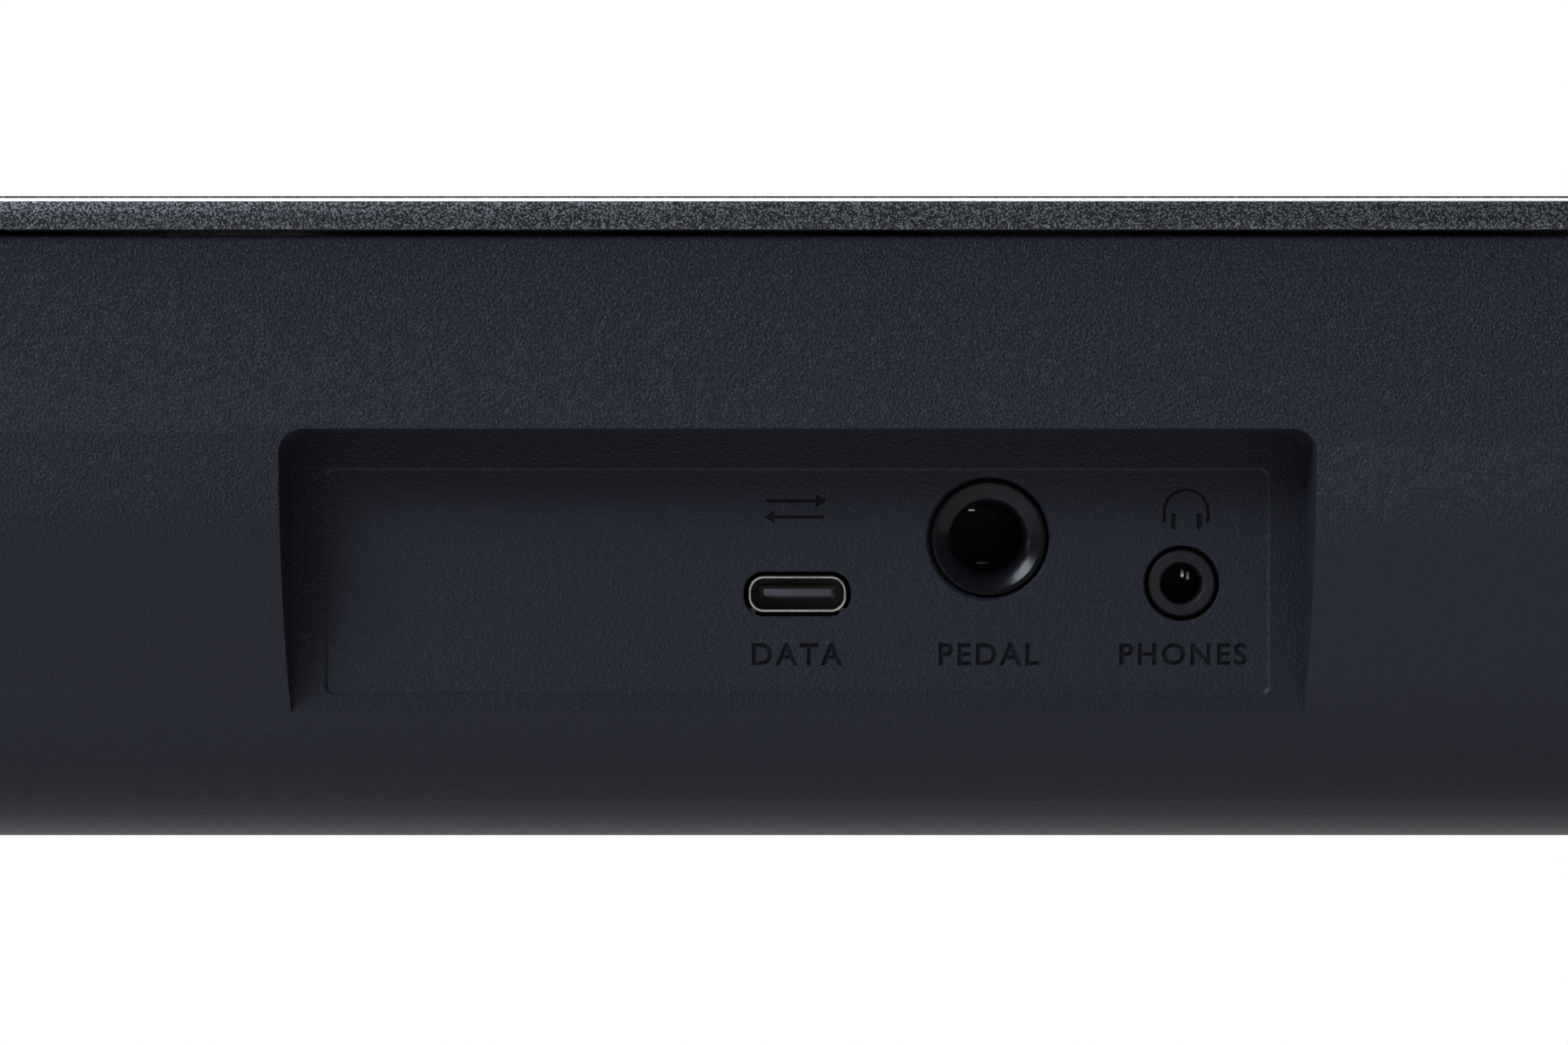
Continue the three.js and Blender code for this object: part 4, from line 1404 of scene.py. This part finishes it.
def white_key(note, sizes):
    """A key top with a small overhang at its front, on a narrower moulded body."""
    left = -FIELD / 2 + whites_below(note) * PITCH + 0.5
    right = left + PITCH - 1
    tail_left, tail_right = left, right
    if note > FIRST_NOTE and is_black(note - 1):
        tail_left = black_centre(note - 1) + BLACK_SLOT / 2
    if note < LAST_NOTE and is_black(note + 1):
        tail_right = black_centre(note + 1) - BLACK_SLOT / 2
    notch, rear = KEY_FRONT + HEAD, HINGE_Y + 4

    def outline(front, inset):
        points = [(left + inset, front), (right - inset, front), (right - inset, notch - inset)]
        if tail_right < right:
            points.append((tail_right - inset, notch - inset))
        points += [(tail_right - inset, rear), (tail_left + inset, rear)]
        if tail_left > left:
            points.append((tail_left + inset, notch - inset))
        points.append((left + inset, notch - inset))
        kept = [p for i, p in enumerate(points) if p != points[i - 1]]
        if tail_right < right:
            return kept
        return [p for p in kept if p != (right - inset, notch - inset)]

    under_cap, lip = KEY_TOP - 2.2, 0.9
    cap = prism(outline(KEY_FRONT, 0), under_cap, KEY_TOP)
    soften(cap, upright_front(KEY_FRONT), 1.1, 4)
    soften(cap, at(2, KEY_TOP), sizes.white_edge / MM, 3)
    soften(cap, at(2, under_cap), 0.25, 1)
    body = prism(outline(KEY_FRONT + lip, 0.25), KEY_LOW, under_cap + 0.1)
    soften(body, upright_front(KEY_FRONT + lip), 0.8, 2)
    return [cap, body]


def black_key(note, sizes):
    """A tapered key with rounded edges and a sloping front, and a low tail under the panel."""
    x, half, taper = black_centre(note), 5.4, sizes.black_taper / MM
    profile = [
        (BLACK_FRONT, KEY_LOW), (PANEL_LOW.y - 1.6, KEY_LOW), (PANEL_LOW.y - 1.6, BLACK_TOP),
        (BLACK_FRONT + 5, BLACK_TOP), (BLACK_FRONT, KEY_TOP + 1),
    ]
    bm = prism(profile, x - half, x + half, "YZ")
    waist = KEY_TOP - 1
    slice_at(bm, (0, 0, waist), (0, 0, 1))
    for v in bm.verts:
        share = max(0, (v.co.z - waist) / (BLACK_TOP - waist))
        v.co.x = x + (v.co.x - x) * (1 - share * taper / half)

    def upper_edge(edge):
        return min(v.co.z for v in edge.verts) > waist - 0.1 and sharp(20)(edge)

    soften(bm, upper_edge, sizes.black_edge / MM, 4)
    tail = brick((x - half, PANEL_LOW.y - 1.7, KEY_LOW), (x + half, HINGE_Y, BLACK_SHOULDER))
    soften(tail, at(2, BLACK_SHOULDER), 0.3, 1)
    return [bm, tail]


def make_keys(tint, shapes_of, bar_of, finish):
    """Keys of one colour: the middle octave's each loose, the other octaves' as moulded sets."""
    sizes = bpy.context.scene.digital_piano.keys
    black, slot = tint == "black", f"{tint}_key"
    for step, word in enumerate(NOTE_WORDS):
        node = f"key_{word}_4"
        if is_black(step) == black:
            shape = gather(shapes_of(MIDDLE_C + step, sizes))
            finished(f"{node}_top", shape, finish, node, [node])
    for octave, (low, high) in OCTAVES.items():
        node = f"{tint}_keys_octave_{octave}"
        notes = [n for n in range(low, high + 1) if is_black(n) == black]
        shapes = [shape for n in notes for shape in shapes_of(n, sizes)]
        shape = gather([*shapes, bar_of(*node_box(node))])
        finished(f"{node}_tops", shape, finish, node, [node])


class PIANO_OT_white_keys(Operator):
    """White keys: the middle octave loose, the others in moulded sets"""

    bl_idname = "piano.white_keys"
    bl_label = "White Keys"

    def execute(self, context):
        def bar(low, high):
            return soften(
                brick((low.x, HINGE_Y + 3, KEY_LOW), (high.x, high.y, KEY_TOP)), sharp(), 0.4, 1,
            )

        make_keys("white", white_key, bar, "ivory")
        return {"FINISHED"}


class PIANO_OT_black_keys(Operator):
    """Black keys: the middle octave loose, the others in moulded sets"""

    bl_idname = "piano.black_keys"
    bl_label = "Black Keys"

    def execute(self, context):
        def bar(low, high):
            return brick((low.x, HINGE_Y - 26, BASE + 47.4), (high.x, HINGE_Y - 18, BLACK_SHOULDER))

        make_keys("black", black_key, bar, "ebony")
        return {"FINISHED"}


class PIANO_OT_inner_works(Operator):
    """Finishes of the parts inside the case"""

    bl_idname = "piano.inner_works"
    bl_label = "Inner Works"

    def execute(self, context):
        for node, finish in (
            ("key_frame", "chassis_plastic"), ("contact_strip", "contact_rubber"),
            ("main_board", "circuit_board"), ("jack_board", "circuit_board"),
        ):
            refinish(node, finish)
        return {"FINISHED"}


# ---------------------------------------------------------------- underside
def cross_screw(centre, axis, radius, height):
    """A pan-head screw with a cross recess. Its head points against the axis."""
    head = turned(
        [(0, -3), (radius * 0.5, -3), (radius * 0.5, 0), (radius, 0), (radius, height * 0.35),
         (radius * 0.8, height * 0.8), (radius * 0.45, height), (0, height)],
        (0, 0, 0), steps=24,
    )
    long, thin, floor = radius * 0.5, radius * 0.13, height * 0.3
    bars = [brick((-u, -v, floor), (u, v, height + 1)) for u, v in ((long, thin), (thin, long))]
    head = carve(head, bars)
    turn = AXIS_TURNS[axis] @ Matrix.Rotation(math.pi, 4, "X")
    bmesh.ops.transform(head, matrix=Matrix.Translation(centre) @ turn, verts=head.verts)
    return head


class PIANO_OT_underside(Operator):
    """Rubber feet and screws under the case"""

    bl_idname = "piano.underside"
    bl_label = "Underside"

    def execute(self, context):
        feet = [
            turned(
                [(0, -2.8), (7.6, -2.8), (8.6, -2.4), (9, -1.6), (9, 0.5), (0, 0.5)], (x, y, UNDER),
                steps=40,
            )
            for x in (-495, 495) for y in (-100, 80)
        ]
        finished("case_feet", gather(feet), "rubber", ROOT)
        spots = [(x, y) for x in (-380, -130, 130, 380) for y in (-105, -10, 90)]
        screws = [cross_screw((x, y, UNDER + 0.2), "Z", 3.2, 1.5) for x, y in spots]
        finished("case_screws", gather(screws), "zinc", ROOT)
        return {"FINISHED"}


# ---------------------------------------------------------------- stand
class PIANO_OT_stand_boards(Operator):
    """Uprights, feet and rear beam of the stand"""

    bl_idname = "piano.stand_boards"
    bl_label = "Stand Boards"

    def execute(self, context):
        edge = context.scene.digital_piano.stand.board_edge / MM
        low, high = node_box("stand_upright_right")
        bow = [(96, low.z), (84, 300), (high.y, high.z)]

        def curve(t):
            shares = ((1 - t) ** 2, 2 * t * (1 - t), t ** 2)
            return tuple(sum(share * point[i] for share, point in zip(shares, bow)) for i in (0, 1))

        side = [curve(i / 28) for i in range(29)]
        outline = side + [(-y, z) for y, z in reversed(side)]
        upright = prism(outline, low.x, high.x, "YZ")
        soften(upright, lambda e: at(0, low.x)(e) or at(0, high.x)(e), edge, 3)
        finished_pair(
            "upright_board", "stand_upright", upright, "laminate_along_z",
        )

        low, high = node_box("stand_foot_right")
        outline = [
            (low.y, low.z), (high.y, low.z), (high.y, low.z + 14), (high.y - 30, high.z),
            (low.y + 30, high.z), (low.y, low.z + 14),
        ]
        foot = prism(outline, low.x, high.x, "YZ")

        def across_top(edge):
            a, b = edge.verts
            return abs(a.co.x - b.co.x) > 10 and a.co.z > low.z + 5

        soften(foot, across_top, 5, 5)
        soften(foot, sharp(40), edge * 1.2, 3)
        finished_pair("foot_board", "stand_foot", foot, "laminate_along_y")

        beam = soften(brick(*node_box("stand_beam")), sharp(), edge, 3)
        finished("beam_board", beam, "laminate_along_x", ROOT, ["stand_beam"], 28)
        return {"FINISHED"}


class PIANO_OT_stand_hardware(Operator):
    """Brackets, screws, bolts and glides of the stand"""

    bl_idname = "piano.stand_hardware"
    bl_label = "Stand Hardware"

    def execute(self, context):
        for side, word in ((-1, "left"), (1, "right")):
            self.make_bracket(side, word)
            self.make_bolts(side, word)
            for place in ("front", "rear"):
                self.make_thumb_screw(f"{place}_{word}")
                self.make_glide(f"{place}_{word}")
        return {"FINISHED"}

    @staticmethod
    def make_bracket(side, word):
        (low, high), (x, y, _) = node_box("stand_bracket_right"), middle_of("stand_bracket_right")
        steel = 3
        plate = slab(x, y, high.x - low.x, high.y - low.y, 9, 6, high.z - steel, high.z)
        face = node_box("stand_upright_right")[0].x - 0.3
        tall = high.z - 1 - low.z
        flange = slab(0, low.z + tall / 2, 120, tall, 7, 6, face - steel, face, "YZ")
        bracket = carve(plate, [flange], "UNION")
        holes = [
            peg(THUMB_HOLE, low.z, high.z + 1, (THUMB_X, y, 0), steps=32)
            for y in (-THUMB_Y, THUMB_Y)
        ]
        bracket = carve(bracket, holes)
        soften(bracket, sharp(50), 0.35, 2)
        screws = [cross_screw((face - steel, y, low.z + 17), "X", 4.0, 2.2) for y in (-42, 0, 42)]
        if side < 0:
            mirrored(bracket)
            screws = [mirrored(s) for s in screws]
        node = f"stand_bracket_{word}"
        finished(f"bracket_steel_{word}", bracket, "powder_coat", ROOT, [node], 26)
        finished(f"bracket_screws_{word}", gather(screws), "zinc", ROOT)

    @staticmethod
    def make_bolts(side, word):
        """Barrel bolts with a hexagon socket that hold the beam to the upright."""
        face = node_box("stand_upright_right")[1].x
        beam = middle_of("stand_beam")
        bolts = []
        for dz in (-48, 48):
            head = turned(
                [(0, -4), (4, -4), (4, 0), (7.4, 0), (7.5, 0.4), (7.0, 1.2), (5.8, 1.7), (0, 1.8)],
                (0, 0, 0), steps=36,
            )
            socket = bmesh.new()
            bmesh.ops.create_cone(
                socket, cap_ends=True, segments=6, radius1=2.9, radius2=2.9, depth=4,
                matrix=Matrix.Translation((0, 0, 1.2)),
            )
            head = carve(head, [socket])
            matrix = Matrix.Translation((face, beam.y, beam.z + dz)) @ AXIS_TURNS["X"]
            bmesh.ops.transform(head, matrix=matrix, verts=head.verts)
            bolts.append(head if side > 0 else mirrored(head))
        finished(f"beam_bolts_{word}", gather(bolts), "zinc", ROOT)

    @staticmethod
    def make_thumb_screw(where):
        node = f"thumb_screw_{where}"
        (low, high), (x, y, _) = node_box(node), middle_of(node)
        top = low.z + 9
        head = turned(
            [(0, low.z), (8.2, low.z), (9.4, low.z + 0.5), (9.9, low.z + 1.4), (9.9, low.z + 7.6),
             (9.2, low.z + 8.3), (7, low.z + 8.6), (7, top), (0, top)],
            (0, 0, 0), steps=72,
        )
        knurl(head, 72, lambda radius, _: radius > 9.85, lambda column: column % 4 == 0, 0.90)
        place_at(head, x, y)
        finished(f"{node}_head", head, "satin_moulding", ROOT, [node], 28)
        shank = turned(
            [(0, top - 1), (2.9, top - 1), (2.9, high.z - 0.4), (2.4, high.z), (0, high.z)],
            (x, y, 0), steps=24,
        )
        finished(f"{node}_shank", shank, "zinc", ROOT)

    @staticmethod
    def make_glide(where):
        node = f"glide_{where}"
        (low, high), (x, y, _) = node_box(node), middle_of(node)
        pad = turned(
            [(0, low.z), (12.6, low.z), (13.8, low.z + 0.3), (14.7, low.z + 1.2), (15, low.z + 2.4),
             (15, high.z - 0.6), (14.4, high.z), (0, high.z)],
            (x, y, 0), steps=56,
        )
        finished(f"{node}_pad", pad, "rubber", ROOT, [node], 28)


# ---------------------------------------------------------------- studio
class PIANO_OT_studio(Operator):
    """Floor, lights, surround and camera"""

    bl_idname = "piano.studio"
    bl_label = "Studio"

    def execute(self, context):
        self.lay_floor()
        self.hang_lights()
        self.set_surround()
        self.place_camera()
        return {"FINISHED"}

    @staticmethod
    def lay_floor():
        bm = bmesh.new()
        bmesh.ops.create_circle(bm, cap_ends=True, segments=96, radius=5.2)
        floor = as_object("studio_floor", bm)
        floor.data.materials.append(finish_of("studio_floor"))

    @staticmethod
    def lamp(name, place, target, width, height, power, tint):
        data = bpy.data.lights.new(name, "AREA")
        data.shape = "RECTANGLE"
        data.size, data.size_y = width, height
        data.energy = power
        data.color = tint
        lamp = bpy.data.objects.new(name, data)
        lamp.location = place
        lamp.rotation_euler = (Vector(target) - Vector(place)).to_track_quat("-Z", "Y").to_euler()
        bpy.context.scene.collection.objects.link(lamp)

    def hang_lights(self):
        x = RECESS_X * MM
        recess = (x, REAR * MM, (BASE + 25) * MM)
        self.lamp("rear_softbox", (x + 1.15, 1.32, 1.88), recess, 1.0, 0.7, 36, (0.78, 0.86, 1.0))
        self.lamp(
            "overhead_softbox", (0.1, -0.1, 2.9), (0, 0, 0.7), 3.0, 1.8, 46, (1.0, 0.985, 0.97),
        )
        self.lamp(
            "player_softbox", (-1.7, -2.4, 2.2), (0, -0.1, 0.7), 1.6, 1.2, 50, (1.0, 0.98, 0.95),
        )
        self.lamp("side_softbox", (2.6, 0.4, 1.5), (0.2, 0, 0.6), 1.0, 1.4, 16, (0.95, 0.97, 1.0))

    @staticmethod
    def set_surround():
        """White where it is seen, and a softer grey where it only lights the object."""
        world = bpy.data.worlds.new("white_surround")
        bpy.context.scene.world = world
        world.use_nodes = True
        tree = world.node_tree
        tree.nodes.clear()
        seen, lighting = (tree.nodes.new("ShaderNodeBackground") for _ in range(2))
        seen.inputs["Color"].default_value = (1, 1, 1, 1)
        seen.inputs["Strength"].default_value = 1.0
        lighting.inputs["Color"].default_value = (0.93, 0.95, 1.0, 1)
        lighting.inputs["Strength"].default_value = 0.12
        path = tree.nodes.new("ShaderNodeLightPath")
        mixer = tree.nodes.new("ShaderNodeMixShader")
        output = tree.nodes.new("ShaderNodeOutputWorld")
        tree.links.new(path.outputs["Is Camera Ray"], mixer.inputs[0])
        tree.links.new(lighting.outputs[0], mixer.inputs[1])
        tree.links.new(seen.outputs[0], mixer.inputs[2])
        tree.links.new(mixer.outputs[0], output.inputs["Surface"])
        bpy.context.scene.view_settings.view_transform = "Standard"

    @staticmethod
    def place_camera():
        """Level view of the connector recess from close behind the piano."""
        data = bpy.data.cameras.new("rear_camera")
        data.lens = 103.3
        data.sensor_width = 36
        data.clip_start = 0.02
        camera = bpy.data.objects.new("rear_camera", data)
        camera.location = ((RECESS_X + 1.25) * MM, (REAR + 410) * MM, (BASE + 28.54) * MM)
        camera.rotation_euler = (math.pi / 2, 0, math.pi)
        bpy.context.scene.collection.objects.link(camera)
        bpy.context.scene.camera = camera


# ---------------------------------------------------------------- add-on
STEPS = (
    PIANO_OT_case_shell,
    PIANO_OT_top_panel,
    PIANO_OT_grilles,
    PIANO_OT_controls,
    PIANO_OT_ends,
    PIANO_OT_connectors,
    PIANO_OT_white_keys,
    PIANO_OT_black_keys,
    PIANO_OT_inner_works,
    PIANO_OT_underside,
    PIANO_OT_stand_boards,
    PIANO_OT_stand_hardware,
    PIANO_OT_studio,
)


class PIANO_PT_builder(Panel):
    """Sizes, colours and building steps of the piano"""

    bl_label = "Digital Piano"
    bl_idname = "PIANO_PT_builder"
    bl_space_type = "VIEW_3D"
    bl_region_type = "UI"
    bl_category = "Piano"

    def draw(self, context):
        layout = self.layout
        piano = context.scene.digital_piano
        for title, group in (
            ("Case", piano.case), ("Keys", piano.keys), ("Stand", piano.stand),
            ("Colours", piano.colours),
        ):
            box = layout.box()
            box.label(text=title)
            for name in group.__annotations__:
                box.prop(group, name)
        column = layout.column(align=True)
        for step in STEPS:
            column.operator(step.bl_idname)


CLASSES = (CaseSizes, KeySizes, StandSizes, PianoColours, DigitalPiano, *STEPS, PIANO_PT_builder)


def register():
    for cls in CLASSES:
        bpy.utils.register_class(cls)
    bpy.types.Scene.digital_piano = PointerProperty(type=DigitalPiano)


def unregister():
    del bpy.types.Scene.digital_piano
    for cls in reversed(CLASSES):
        bpy.utils.unregister_class(cls)


def main():
    register()
    for step in STEPS:
        group, name = step.bl_idname.split(".")
        getattr(getattr(bpy.ops, group), name)()


if __name__ == "__main__":
    main()
